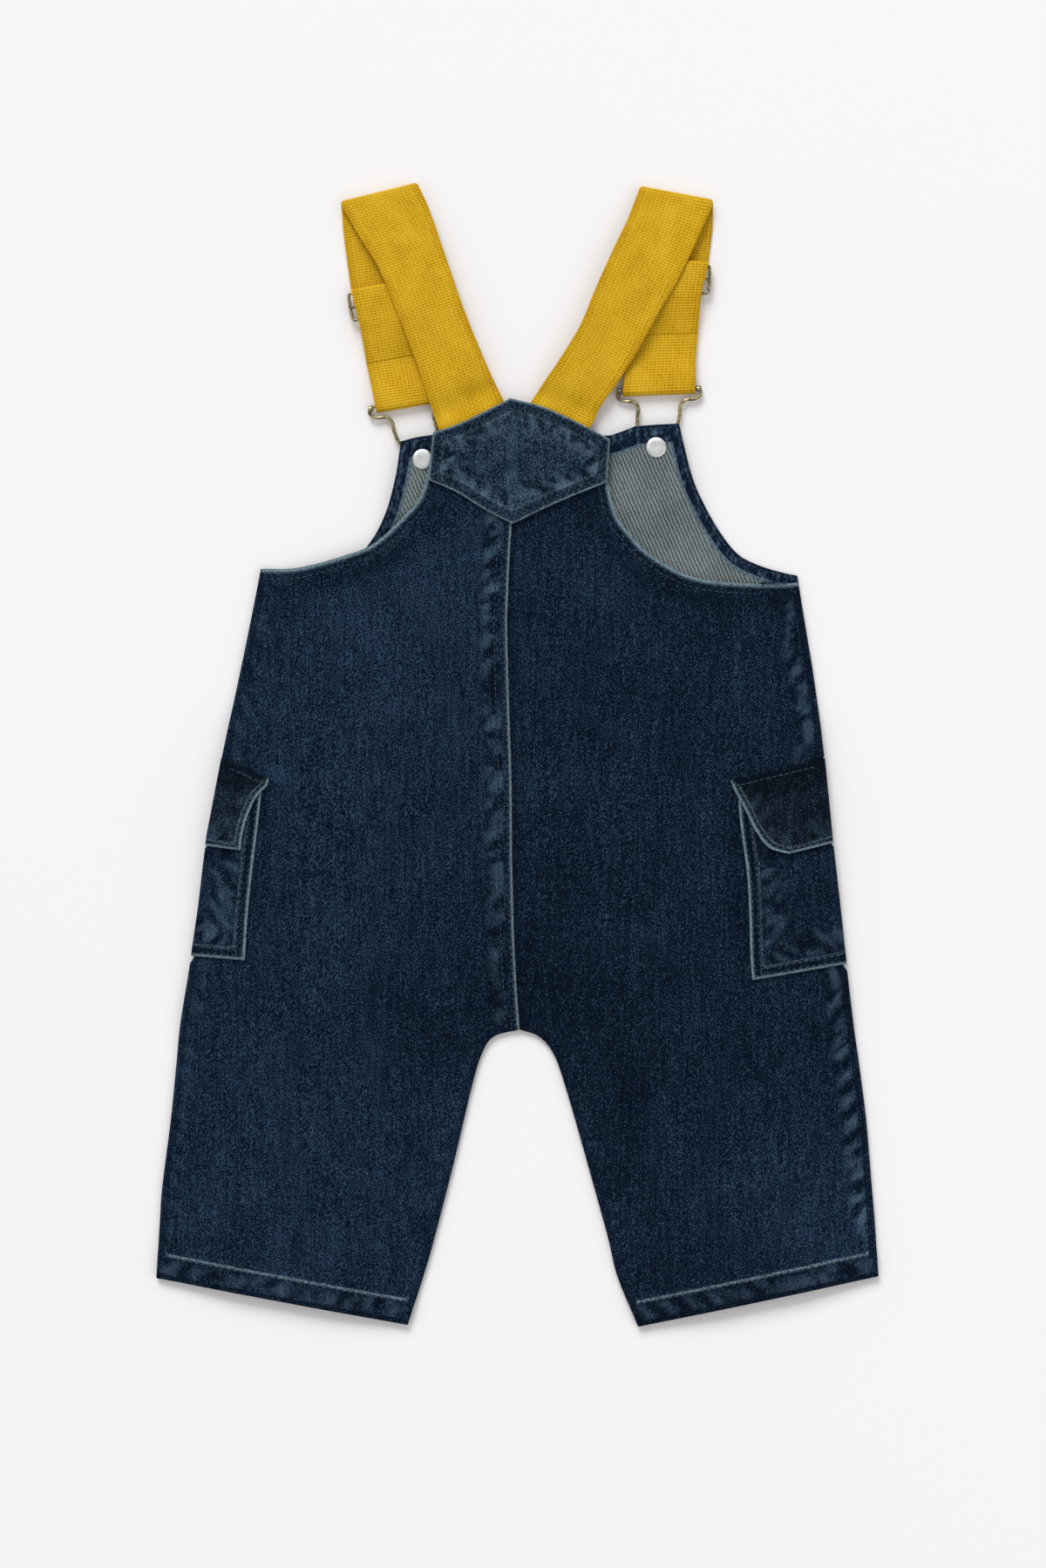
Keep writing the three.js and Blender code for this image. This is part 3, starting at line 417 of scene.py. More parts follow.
# Seams near the points, and the puckers that they pull into the cloth. A seam is (line, width of
# its stitched band, wear of its edge, of the puckers, and of the ridge along the band's inner
# side, pucker height, where from the edge the worn puckers begin, and where they end). The
# attributes hold the place by the seam, the wear and the tone.
def seamFacts(points, seams, seed, shade=0.0, spacing=5.2):
    best = np.full(len(points), 1e9)
    along, away = np.zeros(len(points)), np.full(len(points), 1e3)
    columns = [np.zeros(len(points)) for _ in range(7)]
    for number, (line, *values) in enumerate(seams):
        picked = np.linspace(0, len(line) - 1, min(len(line), 120)).round().astype(int)
        distance, run = nearLine(points, line[picked])
        nearer = distance / values[0] < best
        best = np.where(nearer, distance / values[0], best)
        for target, value in ((along, run + 1000 * number), (away, distance)):
            target[nearer] = value[nearer]
        for target, value in zip(columns, values):
            target[nearer] = value
    width, edge, band, ridge, pucker, begin, finish = columns
    ripple = np.array(
        [
            noise.noise(Vector((a / spacing + d * 0.11, d / 9, seed)))
            + 0.4 * noise.noise(Vector((a / 2.3 + d * 0.2, d / 4, seed + 7)))
            for a, d in zip(along, away)
        ]
    )
    height = pucker * ripple * plateau(away, width * 1.1, 7) * smooth(away / 1.5)
    crest = smooth((ripple + 0.18) / 0.75)
    fade = (finish - begin) * 0.5
    reach = smooth((away - begin) / 2.2) * plateau(away, finish - fade, np.maximum(fade, 1))
    worn = np.clip(1 + 2.4 * np.minimum(shade, 0), 0, 1)  # fewer worn patches where the tone is darker, painted shade included
    patches = band * crest * reach * worn
    hollow = -0.4 * band * smooth((0.05 - ripple) / 0.5) * reach
    facts = {
        "seamPlace": np.stack([along, np.minimum(away, 60), width], axis=1),
        "seamWear": np.stack([edge, ridge, band], axis=1),
        "clothTone": np.stack([patches, shade + hollow, np.zeros_like(patches)], axis=1),
    }
    return height, facts


# Darker cloth between the edge and the ridge.
def darkBand(facts, depth):
    away, width = facts["seamPlace"][:, 1], facts["seamPlace"][:, 2]
    facts["clothTone"][:, 1] -= depth * plateau(away, width - 1.4, fades["band"])


# Small places that are darker or lighter than the cloth round them, some of them painted shadow: x, y,
# half-sizes, change.
toneAndShadowSpots = [
    (54.4, -169.4, 14, 22, -0.16),
    (0, -122, 34, 32, -0.13),
    (-11.5, 36, 3, 14, -0.5),
    (-117, -9, 7, 4, 0.22),
    (-60, 70, 45, 30, 0.06),
    (34, 84, 30, 22, 0.07),
    (22, -105, 55, 75, -0.08),
    (155, -228, 38, 34, 0.2),
    (-52, -128, 26, 34, -0.13),
    (106, -30, 4, 14, -0.16),  # painted shadow beside the pockets' inner edges, this spot and the five below
    (109, -62, 4, 26, -0.14),
    (111.5, -98, 4, 18, -0.14),
    (-123.5, -28, 4, 12, -0.14),
    (-127, -58, 4, 24, -0.12),
    (-131, -90, 4, 16, -0.12),
]


def spotToneAndShadow(x, y):
    tone = np.zeros_like(x)
    for spotX, spotY, halfX, halfY, change in toneAndShadowSpots:
        tone += change * np.exp(-(((x - spotX) / halfX) ** 2) - ((y - spotY) / halfY) ** 2)
    return tone


# Denim, seen from its face
outerRow, innerRow = 1.8, 1.0  # needle rows: from the edge, and from the ridge
denimLook = {
    "dark": "#050f1d",
    "mid": "#0e1d31",
    "light": "#31485e",
    "faded": "#4f667b",
    "worn": "#829ba6",
    # painted shade in the stitch grooves
    "groove": "#07101c",
    "mottle": 0.16,
    "pitch": 1.1,  # mm, near twice the real one so that it shows
    "angle": -52,
}

# Settings of a Map Range and of a Mix node, and the scale of a wave texture.
eased = {"interpolation_type": "SMOOTHSTEP"}
mixed = {"out": 2, "data_type": "RGBA"}
wavesPerMm = 0.314  # gives one band to a millimetre


# Sum of patterns that each swing about a half: a start and pairs of pattern and weight.
def layeredTone(add, start, *layers):
    tone = start
    for pattern, weight in layers:
        swing = add("Math", {0: pattern, 1: weight, 2: -weight / 2}, operation="MULTIPLY_ADD")
        tone = add("Math", {0: tone, 1: swing}, operation="ADD")
    return tone


# Indigo ring-dyed twill: the warp is blue on the outside of its yarns only, so each raised
# edge and pucker wears to a pale blue-grey, and the face is a dark, grainy diagonal.
def indigoTwill(name, look):
    material, add, surface = newMaterial(name)
    place = add("TexCoord", out="Object")
    inMm = add("VectorMath", {0: place, "Scale": 1000.0}, operation="SCALE")
    seam = add("Attribute", attribute_name="seamPlace", out="Vector")
    away, width = add("SeparateXYZ", {0: seam}).node.outputs[1:3]
    wear = add("Attribute", attribute_name="seamWear", out="Vector")
    edgeWear, ridgeWear, bandWear = add("SeparateXYZ", {0: wear}).node.outputs[:3]
    toned = add("Attribute", attribute_name="clothTone", out="Vector")
    patches, shade = add("SeparateXYZ", {0: toned}).node.outputs[:2]

    clouds = add("TexNoise", {"Vector": inMm, "Scale": 0.03, "Detail": 3.0, "Roughness": 0.55})
    slubPlace = add("Mapping", {0: inMm, "Scale": (1.0, 0.07, 1.0)})
    slubs = add("TexNoise", {"Vector": slubPlace, "Scale": 0.7, "Detail": 2.0})
    twillPlace = add("Mapping", {0: inMm, "Rotation": (0.0, 0.0, math.radians(look["angle"]))})
    twill = add(
        "TexWave",
        {
            "Vector": twillPlace,
            "Scale": wavesPerMm / look["pitch"],
            "Distortion": 2.4,
            "Detail": 2.0,
            "Detail Scale": 1.8,
        },
        out="Fac",
        bands_direction="Y",
    )
    grainPlace = add("Mapping", {0: twillPlace, "Scale": (0.42, 1.0, 1.0)})
    grain = add("TexNoise", {"Vector": grainPlace, "Scale": 2.2, "Detail": 2.0, "Roughness": 0.6})
    flecks = add("TexNoise", {"Vector": inMm, "Scale": 1.4, "Detail": 2.0, "Roughness": 0.5})
    mottle = add("TexNoise", {"Vector": inMm, "Scale": 0.13, "Detail": 2.0, "Roughness": 0.5})
    weights = (0.3, look["mottle"], 0.62, 2.8, 0.2, 1.1)
    tone = layeredTone(add, 0.5, *zip((clouds, mottle, slubs, grain, twill, flecks), weights))
    tone = add("Math", {0: tone, 1: shade}, operation="ADD")
    stops = [(0.2, look["dark"]), (0.5, look["mid"]), (0.85, look["light"])]
    ramp = add("ValToRGB", {0: tone}, stops=stops)

    # bare ends of weft show as sparse pale flecks
    bare = add("MapRange", {0: flecks, 1: 0.6, 2: 0.72, 3: 0.0, 4: 0.4}, **eased)
    ramp = add("Mix", {0: bare, 6: ramp, 7: hexColour(look["faded"])}, **mixed)

    # puckers wear in soft patches that keep the diagonal of the weave
    weave = add("MapRange", {0: grain, 1: 0.3, 2: 0.66, 3: 0.25, 4: 1.0}, **eased)
    patchShare = add("Math", {0: patches, 1: weave}, operation="MULTIPLY")
    faded = add("Mix", {0: patchShare, 6: ramp, 7: hexColour(look["faded"])}, **mixed)

    # the fold of an edge wears palest, in a wider rim where its wear is over 1, and the ridge
    # over the seam allowance a little
    fromEdge = add("Math", {0: away, 1: edgeWear}, operation="DIVIDE")
    onEdge = add("MapRange", {0: fromEdge, 1: 0.45, 2: 1.7, 3: 1.0, 4: 0.0}, **eased)
    onEdge = add("Math", {0: onEdge, 1: edgeWear}, operation="MULTIPLY", use_clamp=True)
    fromRidge = add("Math", {0: away, 1: width}, operation="SUBTRACT")
    fromRidge = add("Math", {0: fromRidge}, operation="ABSOLUTE")
    onRidge = add("MapRange", {0: fromRidge, 1: 0.2, 2: 1.1, 3: 1.0, 4: 0.0}, **eased)
    onRidge = add("Math", {0: onRidge, 1: ridgeWear}, operation="MULTIPLY")
    broken = add("MapRange", {0: flecks, 1: 0.38, 2: 0.62, 3: 0.25, 4: 1.0}, **eased)
    onRidge = add("Math", {0: onRidge, 1: broken}, operation="MULTIPLY")
    thin = add("Math", {0: onEdge, 1: onRidge}, operation="MAXIMUM")
    thin = add("Math", {0: thin, 1: weave}, operation="MULTIPLY")
    worn = add("Mix", {0: thin, 6: faded, 7: hexColour(look["worn"])}, **mixed)

    # two grooves where the stitches pull the cloth in, near the edge and beside the ridge, darkened with
    # painted shade
    inner = add("Math", {0: fromRidge, 1: innerRow, 2: 0.45}, operation="COMPARE")
    within = add("Math", {0: away, 1: width}, operation="LESS_THAN")
    inner = add("Math", {0: inner, 1: within}, operation="MULTIPLY")
    outer = add("Math", {0: away, 1: outerRow, 2: 0.45}, operation="COMPARE")
    rows = add("Math", {0: inner, 1: outer}, operation="MAXIMUM")
    stitched = add("MapRange", {0: bandWear, 1: 0.0, 2: 0.25, 3: 0.0, 4: 0.7})
    sewn = add("Math", {0: rows, 1: stitched}, operation="MULTIPLY")
    colour = add("Mix", {0: sewn, 6: worn, 7: hexColour(look["groove"])}, **mixed)

    height = layeredTone(add, 0.5, (grain, 1.6), (twill, 0.3), (flecks, 0.5))
    height = add("Math", {0: sewn, 1: -0.5, 2: height}, operation="MULTIPLY_ADD")
    bump = add("Bump", {"Height": height, "Strength": 0.6, "Distance": 0.0004})
    setSockets(
        surface,
        {"Base Color": colour, "Normal": bump, "Roughness": 0.95, "Specular IOR Level": 0.04},
    )
    return material


# The wrong side of the twill: undyed weft lies over the warp, so it is grey with dark diagonals.
# Within the band of a seam it shows the face, where the edge is turned to the inside.
def greyTwillInside(name, look, turned):
    material, add, surface = newMaterial(name)
    place = add("TexCoord", out="Object")
    inMm = add("VectorMath", {0: place, "Scale": 1000.0}, operation="SCALE")
    twillPlace = add("Mapping", {0: inMm, "Rotation": (0.0, 0.0, math.radians(look["angle"]))})
    twill = add(
        "TexWave",
        {
            "Vector": twillPlace,
            "Scale": wavesPerMm / look["pitch"],
            "Distortion": 1.4,
            "Detail": 2.0,
            "Detail Scale": 1.2,
        },
        out="Fac",
        bands_direction="Y",
    )
    specks = add("TexNoise", {"Vector": inMm, "Scale": 1.1, "Detail": 3.0, "Roughness": 0.7})
    clouds = add("TexNoise", {"Vector": inMm, "Scale": 0.06, "Detail": 3.0})
    tone = layeredTone(add, 0.5, (twill, 0.55), (specks, 0.95), (clouds, 0.4))
    stops = [(0.1, look["dark"]), (0.5, look["mid"]), (0.9, look["light"])]
    ramp = add("ValToRGB", {0: tone}, stops=stops)

    seam = add("Attribute", attribute_name="seamPlace", out="Vector")
    away, width = add("SeparateXYZ", {0: seam}).node.outputs[1:3]
    past = add("Math", {0: away, 1: width}, operation="SUBTRACT")
    fold = add("MapRange", {0: past, 1: -0.3, 2: 0.3, 3: 1.0, 4: 0.0})
    facePlace = add("Mapping", {0: inMm, "Scale": (0.8, 0.35, 1.0)})
    faceGrain = add("TexNoise", {"Vector": facePlace, "Scale": 0.6, "Detail": 4.0, "Roughness": 0.7})
    stops = [(0.34, turned["dark"]), (0.52, turned["mid"]), (0.72, turned["faded"])]
    face = add("ValToRGB", {0: faceGrain}, stops=stops)
    lip = add("Math", {0: past, 1: -0.8, 2: 0.85}, operation="COMPARE")
    lip = add("Math", {0: lip, 1: specks}, operation="MULTIPLY")
    face = add("Mix", {0: lip, 6: face, 7: hexColour(turned["worn"])}, **mixed)
    colour = add("Mix", {0: fold, 6: ramp, 7: face}, **mixed)
    bump = add("Bump", {"Height": tone, "Strength": 0.5, "Distance": 0.0004})
    setSockets(
        surface,
        {"Base Color": colour, "Normal": bump, "Roughness": 0.95, "Specular IOR Level": 0.1},
    )
    return material


insideLook = {
    "dark": "#384144",
    "mid": "#667071",
    "light": "#959d9d",
    "pitch": 1.75,  # mm, half as much again as the real one so that it shows
    "angle": 66,
}
denimFace = indigoTwill("indigo twill", denimLook)
denimInside = greyTwillInside("grey twill inside", insideLook, denimLook)
yokeDenim = dict(denimLook, dark="#091523", mid="#162637", light="#40566a", faded="#60768a", mottle=0.7)
yokeFace = indigoTwill("indigo twill, yoke", yokeDenim)
flapDenim = dict(denimLook, dark="#060d17", mid="#101a27", light="#2a3c4e", mottle=0.6)
flapFace = indigoTwill("indigo twill, flaps", flapDenim)

# Mustard polyester webbing: ribs along the strap crossed by a tight weft, so it is a grid of
# small rounded cells with a little sheen, and a firmer selvedge at each side.
webbingLook = {
    "deep": "#a27304",
    "body": "#d3a61a",
    "crown": "#e6bf3a",
    "cell": (1.9, 1.35),  # mm across and along, coarser than the real one so that it shows
}


def mustardWebbing(look):
    material, add, surface = newMaterial("mustard webbing")
    place = add("Attribute", attribute_name="weavePlace", out="Vector")
    # the third number is the distance from the nearer selvedge
    across, along, selvedge = add("SeparateXYZ", {0: place}).node.outputs[:3]
    waves = []
    for run, pitch in zip((across, along), look["cell"]):
        turn = add("Math", {0: run, 1: 2 * math.pi / pitch}, operation="MULTIPLY")
        wave = add("Math", {0: turn}, operation="SINE")
        waves.append(add("Math", {0: wave, 1: 0.5, 2: 0.5}, operation="MULTIPLY_ADD"))
    threads = add("TexNoise", {"Vector": place, "Scale": 1.1, "Detail": 3.0, "Roughness": 0.65})
    patches = add("TexNoise", {"Vector": place, "Scale": 0.07, "Detail": 3.0})
    tone = layeredTone(add, 0.5, (waves[0], 0.16), (waves[1], 0.34), (threads, 1.2), (patches, 0.55))
    rim = add("MapRange", {0: selvedge, 1: 0.4, 2: 3.0, 3: -0.16, 4: 0.0}, **eased)
    tone = add("Math", {0: tone, 1: rim}, operation="ADD")
    groove = add("Math", {0: selvedge, 1: 2.6, 2: 0.4}, operation="COMPARE")
    tone = add("Math", {0: groove, 1: -0.13, 2: tone}, operation="MULTIPLY_ADD")
    stops = [(0.05, look["deep"]), (0.5, look["body"]), (0.95, look["crown"])]
    colour = add("ValToRGB", {0: tone}, stops=stops)
    height = layeredTone(add, 0.5, (waves[0], 0.5), (waves[1], 0.7), (threads, 0.5))
    bump = add("Bump", {"Height": height, "Strength": 0.5, "Distance": 0.0003})
    setSockets(
        surface,
        {"Base Color": colour, "Normal": bump, "Roughness": 0.7, "Specular IOR Level": 0.08},
    )
    return material


webbing = mustardWebbing(webbingLook)


# Metal with a rubbed finish: bright where it is handled, dull where the finish holds.
def rubbedMetal(name, bright, dull, roughness):
    material, add, surface = newMaterial(name)
    place = add("TexCoord", out="Object")
    rub = add("TexNoise", {"Vector": place, "Scale": 420.0, "Detail": 4.0, "Roughness": 0.6})
    share = add("MapRange", {0: rub, 1: 0.35, 2: 0.65}, **eased)
    colour = add("Mix", {0: share, 6: hexColour(dull), 7: hexColour(bright)}, **mixed)
    gloss = add("MapRange", {0: rub, 1: 0.3, 2: 0.7, 3: roughness + 0.15, 4: roughness})
    setSockets(surface, {"Base Color": colour, "Roughness": gloss, "Metallic": 1.0})
    return material


# Polyester thread of two plies twisted together: a fine cord of slanting beads with a soft
# sheen, dyed near the cloth's own blue.
threadLook = {
    "low": "#1c2f43",
    "high": "#4d6478",
    "twist": 0.8,  # mm from ply to ply
    "pitch": 3.2,  # mm from stitch to stitch
    "length": 2.5,
    "radius": 0.27,
}


def twistedThread(look):
    material, add, surface = newMaterial("twisted polyester thread")
    place = add("TexCoord", out="Object")
    inMm = add("VectorMath", {0: place, "Scale": 1000.0}, operation="SCALE")
    slanted = add("Mapping", {0: inMm, "Rotation": (0.0, 0.0, math.radians(35))})
    plyScale = wavesPerMm / look["twist"]
    plies = add("TexWave", {"Vector": slanted, "Scale": plyScale, "Distortion": 1.0}, out="Fac")
    lint = add("TexNoise", {"Vector": inMm, "Scale": 0.5, "Detail": 3.0})
    tone = layeredTone(add, 0.45, (plies, 0.5), (lint, 1.0))
    colour = add("Mix", {0: tone, 6: hexColour(look["low"]), 7: hexColour(look["high"])}, **mixed)
    bump = add("Bump", {"Height": plies, "Strength": 0.4, "Distance": 0.0001})
    setSockets(
        surface,
        {"Base Color": colour, "Normal": bump, "Roughness": 0.65, "Specular IOR Level": 0.2},
    )
    return material


thread = twistedThread(threadLook)


# Stitches on a finished piece, each a short rise of thread between two needle holes. A seam is
# (line, points on its inner side, how far in each row lies).
def sewOn(piece, seams):
    solid = piece.evaluated_get(bpy.context.evaluated_depsgraph_get())
    down, overhead = Vector((0, 0, -1)), 50  # each hole is found from 50 mm above
    radius = threadLook["radius"] / 1000
    bm = bmesh.new()
    bmesh.ops.create_uvsphere(bm, u_segments=6, v_segments=4, radius=1.0)
    stitch = finishMesh(bm, "stitch")
    bm = bmesh.new()
    for line, inside, offsets in seams:
        step = np.gradient(line, axis=0)
        across = np.stack([-step[:, 1], step[:, 0]], axis=1)
        across /= np.linalg.norm(across, axis=1)[:, None]
        across *= np.sign((across * (inside - line)).sum(1))[:, None]
        for offset in offsets:
            row = line + across * offset
            run = np.concatenate([[0], np.cumsum(np.linalg.norm(np.diff(row, axis=0), axis=1))])
            starts = np.arange(1.0, run[-1] - threadLook["length"], threadLook["pitch"])
            holes = []
            for at in np.stack([starts, starts + threadLook["length"]], axis=1).ravel():
                x, y = (np.interp(at, run, row[:, k]) for k in range(2))
                holes.append(solid.ray_cast(Vector((x, y, overhead)) / 1000, down)[:2])
            for (onCloth, a), (alsoOn, b) in zip(holes[::2], holes[1::2]):
                if not (onCloth and alsoOn):
                    continue
                shape = Matrix.Diagonal((radius, radius, (b - a).length / 2, 1))
                turn = (b - a).to_track_quat("Z", "Y").to_matrix().to_4x4()
                copy = stitch.copy()
                copy.transform(Matrix.Translation((a + b) / 2) @ turn @ shape)
                bm.from_mesh(copy)
                bpy.data.meshes.remove(copy)
    bpy.data.meshes.remove(stitch)
    name = f"{piece.name}_stitches"
    return placePiece(name, finishMesh(bm, name), [thread], [])


agedBrass = rubbedMetal("aged brass wire", "#c2b48c", "#665c49", 0.32)
nickelPlate = rubbedMetal("nickel plated steel", "#f2f3f2", "#cfd2d1", 0.42)
print("materials made")


# The body of the garment
def halfGrid(side, last):
    rows = halfRows[side]
    stations = evenStations(rows, last, cloth["grid"])
    fine = np.linspace(0, cornerRow - 1, 2000)
    fineY = readRows(rows, fine)[:, 3]
    for low, high in sideSpans[side].values():
        for y in (low - spanFade, low, high, high + spanFade):
            station = np.interp(y, fineY, fine)
            stations[np.abs(stations - station).argmin()] = station
    ends = readRows(rows, stations)
    out = outward[side]
    inner = np.stack([ends[:, 0] + out * cloth["gap"] / 2, ends[:, 1]], axis=1)
    outer = np.stack([ends[:, 2] - out * inset(side, ends[:, 3]), ends[:, 3]], axis=1)
    count = int(np.linalg.norm(outer - inner, axis=1).max() / cloth["grid"])
    share = np.linspace(0, 1, count + 1)[None, :, None]
    flat = inner[:, None] * (1 - share) + outer[:, None] * share
    return flat, stations


def underPatch(x, y):
    return smooth(pocketShare(x, y, (pocketSpan[0] + 8, pocketSpan[1] - 8)) * 1.2)


bodySeams = {  # columns as in seamFacts
    "hem": (cloth["hemDepth"], 0.0, 0.85, 0.95, 0.42, 1.5, 13),
    "inseam": (4.0, 0.0, 0.1, 0.0, 0.15, 1, 12),
    "felled": (7.4, 0.95, 1.0, 0.0, 0.34, 3.6, 15),
    "plain": (4.0, 0.0, 0.05, 0.0, 0.1, 1, 8),
    "leftSide": (4.0, 0.0, 0.2, 0.0, 0.3, 1, 13),
    "rightSide": (4.0, 0.0, 1.0, 0.0, 0.4, 3, 14),
    "armhole": (cloth["bindDepth"] - 2, 1.6, 0.16, 0.0, 0.26, 3, 10),
    "frontHem": (cloth["hemDepth"], 0.0, 0.5, 0.55, 0.3, 1.5, 13),
    "frontCentre": (7.4, 0.6, 0.5, 0.0, 0.25, 3.6, 14),
    "frontSide": (4.0, 0.0, 0.16, 0.0, 0.15, 1, 13),
    "waist": (6.0, 0.4, 0.3, 0.2, 0.15, 2, 10),
}
seeds = {  # where each panel's noise begins
    "back": {"left": 3.0, "right": 9.0},
    "front": {"left": 15.0, "right": 21.0},
    "bib": 27.0,
    "yoke": 33.0,
}
backToneAndShade = {  # how much darker each place is than the cloth; fell and armhole are painted shade
    "left": 0.04,
    "right": 0.13,
    "fell": 0.14,  # painted shadow in the strip beside the felled seam, on its right
    # painted shade in the band beside the armhole binding
    "armhole": 0.13,
    "hem": 0.1,  # under the hem's stitched line
}


def backPanel(side):
    flat, stations = halfGrid(side, len(halfRows[side]) - 1)
    points = flat.reshape(-1, 2)
    x, y = points[:, 0], points[:, 1]
    crotch = np.abs(stations - crotchRow).argmin()
    corner = np.abs(stations - cornerRow).argmin()
    felled = side == "left"
    seams = [
        (flat[0], *bodySeams["hem"]),
        (flat[: crotch + 1, 0], *bodySeams["inseam"]),
        (flat[crotch:, 0], *bodySeams["felled" if felled else "plain"]),
        (flat[: corner + 1, -1], *bodySeams[f"{side}Side"]),
        (flat[corner:, -1], *bodySeams["armhole"]),
    ]
    across = nearLine(points, flat[crotch:, 0][::4])[0]
    binding = nearLine(points, flat[corner:, -1][::3])[0]
    # tone of small places, with painted shadow beside the pockets' inner edges
    shade = spotToneAndShadow(x, y) - backToneAndShade[side]
    # painted shadow beside the felled seam, on the right panel
    if not felled:
        shade -= backToneAndShade["fell"] * plateau(across, 1.2, 1.6)
    # painted shade in the band beside the armhole binding
    shade -= backToneAndShade["armhole"] * plateau(np.abs(binding - cloth["bindDepth"]), 3, 7)
    shade -= backToneAndShade["hem"] * plateau(nearLine(points, flat[0])[0], cloth["hemDepth"] - 1, 1.4)
    relief, facts = seamFacts(points, seams, seeds["back"][side], shade, spacing=6.0)
    raised = cloth["bindRaise"] * plateau(binding, cloth["bindDepth"], fades["band"])
    if felled:
        fell = cloth["felledRaise"] * plateau(across, cloth["felledWidth"], fades["band"])
        raised += np.where(y > cloth["felledFrom"], fell, 0)
    level = overFront(x, y) + cloth["denim"] + raised + hemAt(x, y)
    level += relief * (1 - underPatch(x, y))
    place = np.column_stack([points, level]).reshape(*flat.shape[:2], 3)
    mesh = clothMesh(f"back_{side}", place, facts)
    piece = placePiece(f"backPanel_{side}", mesh, [denimFace, denimInside], [f"back_{side}"])
    addWall(piece, cloth["denim"], inner=1)
    sewn = [
        (flat[0], flat[1], (cloth["hemDepth"] - innerRow,)),
        (flat[corner:, -1], flat[corner:, -2], (outerRow, bodySeams["armhole"][0] - innerRow)),
    ]
    if felled:
        sewn.append((flat[crotch:, 0], flat[crotch:, 1], (outerRow, bodySeams["felled"][0] - innerRow)))
    sewOn(piece, sewn)


def frontLeg(side):
    flat, stations = halfGrid(side, waistRow)
    points = flat.reshape(-1, 2)
    crotch = np.abs(stations - crotchRow).argmin()
    seams = [
        (flat[0], *bodySeams["frontHem"]),
        (flat[: crotch + 1, 0], *bodySeams["inseam"]),
        (flat[crotch:, 0], *bodySeams["frontCentre"]),
        (flat[:, -1], *bodySeams["frontSide"]),
        (flat[-1], *bodySeams["waist"]),
    ]
    relief, facts = seamFacts(points, seams, seeds["front"][side], spacing=6.0)
    level = frontBottom(points[:, 0], points[:, 1]) + np.maximum(relief, 0)
    place = np.column_stack([points, level]).reshape(*flat.shape[:2], 3)
    mesh = clothMesh(f"front_{side}", place, facts, faceDown=True)
    piece = placePiece(f"frontLeg_{side}", mesh, [denimFace, denimInside], [f"front_leg_{side}"])
    addWall(piece, cloth["denim"], inner=1)


for side in outward:
    backPanel(side)
    frontLeg(side)
print("back and front panels made")

# The bib: left end x and y and right end x and y of each row, from the waist seam up.
bibRows = [
    (-132.4, 62.6, 142.4, 62.6, 1),
    (-126.8, 90, 138.3, 88.5, 1),
    (-110.7, 90.5, 130.3, 90.2, 0),
    (-95.7, 92.6, 119.6, 93.5, 0),
    (-80.6, 97, 109.7, 98.5, 0),
    (-71.4, 106.9, 101.7, 107.7, 0),
    (-64.8, 120, 93.1, 122, 0),
    (-60.2, 136.7, 86.1, 137.7, 0),
    (-57.4, 154.6, 79.7, 163.4, 1),
]
bibTop = np.array([  # x and y along its top
    (-57.4, 154.6), (-50, 156.6), (-42, 157.8), (0, 157.7), (46, 157.6),
    (52, 159.6), (58, 162), (68, 162.8), (79.7, 163.4),
])
facing = {
    "raise": 0.45,
    "side": (7.0, 0.2, 0.3, 0.3, 0.2, 2, 10),  # columns as in seamFacts
    "top": (10.5, 0.2, 0.3, 0.3, 0.2, 3, 13),
}


def bibPanel():
    stations = evenStations(bibRows, len(bibRows) - 1, cloth["grid"])
    ends = readRows(bibRows, stations)
    share = np.linspace(0, 1, 138)
    x = ends[:, :1] * (1 - share) + ends[:, 2:3] * share
    y = ends[:, 1:2] * (1 - share) + ends[:, 3:4] * share
    topX = bibTop[0, 0] * (1 - share) + bibTop[-1, 0] * share
    straight = bibTop[0, 1] * (1 - share) + bibTop[-1, 1] * share
    dip = np.interp(topX, bibTop[:, 0], bibTop[:, 1]) - straight
    y = y + dip * (stations[:, None] / (len(bibRows) - 1)) ** 3
    flat = np.stack([x, y], axis=2)
    corner = np.abs(stations - 1).argmin()
    points = flat.reshape(-1, 2)
    seams = [
        (flat[corner:, 0], *facing["side"]),
        (flat[corner:, -1], *facing["side"]),
        (flat[-1], *facing["top"]),
    ]
    relief, facts = seamFacts(points, seams, seeds["bib"])
    past = facts["seamPlace"][:, 1] - facts["seamPlace"][:, 2]
    turned = facing["raise"] * plateau(past, -0.3, 0.6)
    level = frontBottom(points[:, 0], points[:, 1]) + cloth["denim"] + turned + relief * 0.6
    place = np.column_stack([points, level]).reshape(*flat.shape[:2], 3)
    mesh = clothMesh("bib", place, facts)
    piece = placePiece("bibPanel", mesh, [denimInside, denimFace], ["bib"])
    addWall(piece, cloth["denim"], inner=1)
    sideRows = (outerRow, facing["side"][0] - innerRow)
    sewn = [
        (flat[corner:, 0], flat[corner:, 1], sideRows),
        (flat[corner:, -1], flat[corner:, -2], sideRows),
        (flat[-1], flat[-2], (outerRow, facing["top"][0] - innerRow)),
    ]
    sewOn(piece, sewn)


bibPanel()

# The yoke: low end x and y and high end x and y of each column, from left to right.
yokeColumns = [
    (-43.9, 135.3, -41.5, 158.7, 1),
    (-29.4, 129, -28, 163.4, 0),
    (-16.3, 120.9, -14.5, 170, 0),
    (-2.4, 113.7, -3.5, 175.7, 1),
    (14.4, 121.9, 12, 171.7, 0),
    (28.5, 128, 28.5, 164.5, 0),
    (44.3, 134.4, 45.7, 155.4, 1),
]
yokeLook = {
    "seam": (5.8, 0.8, 0.8, 0.2, 0.3, 3.4, 15),  # columns as in seamFacts
    "creaseX": -3.0,
    "creaseHalf": 2.6,
    "creaseRise": 0.35,
    "edgeRise": 0.3,
}


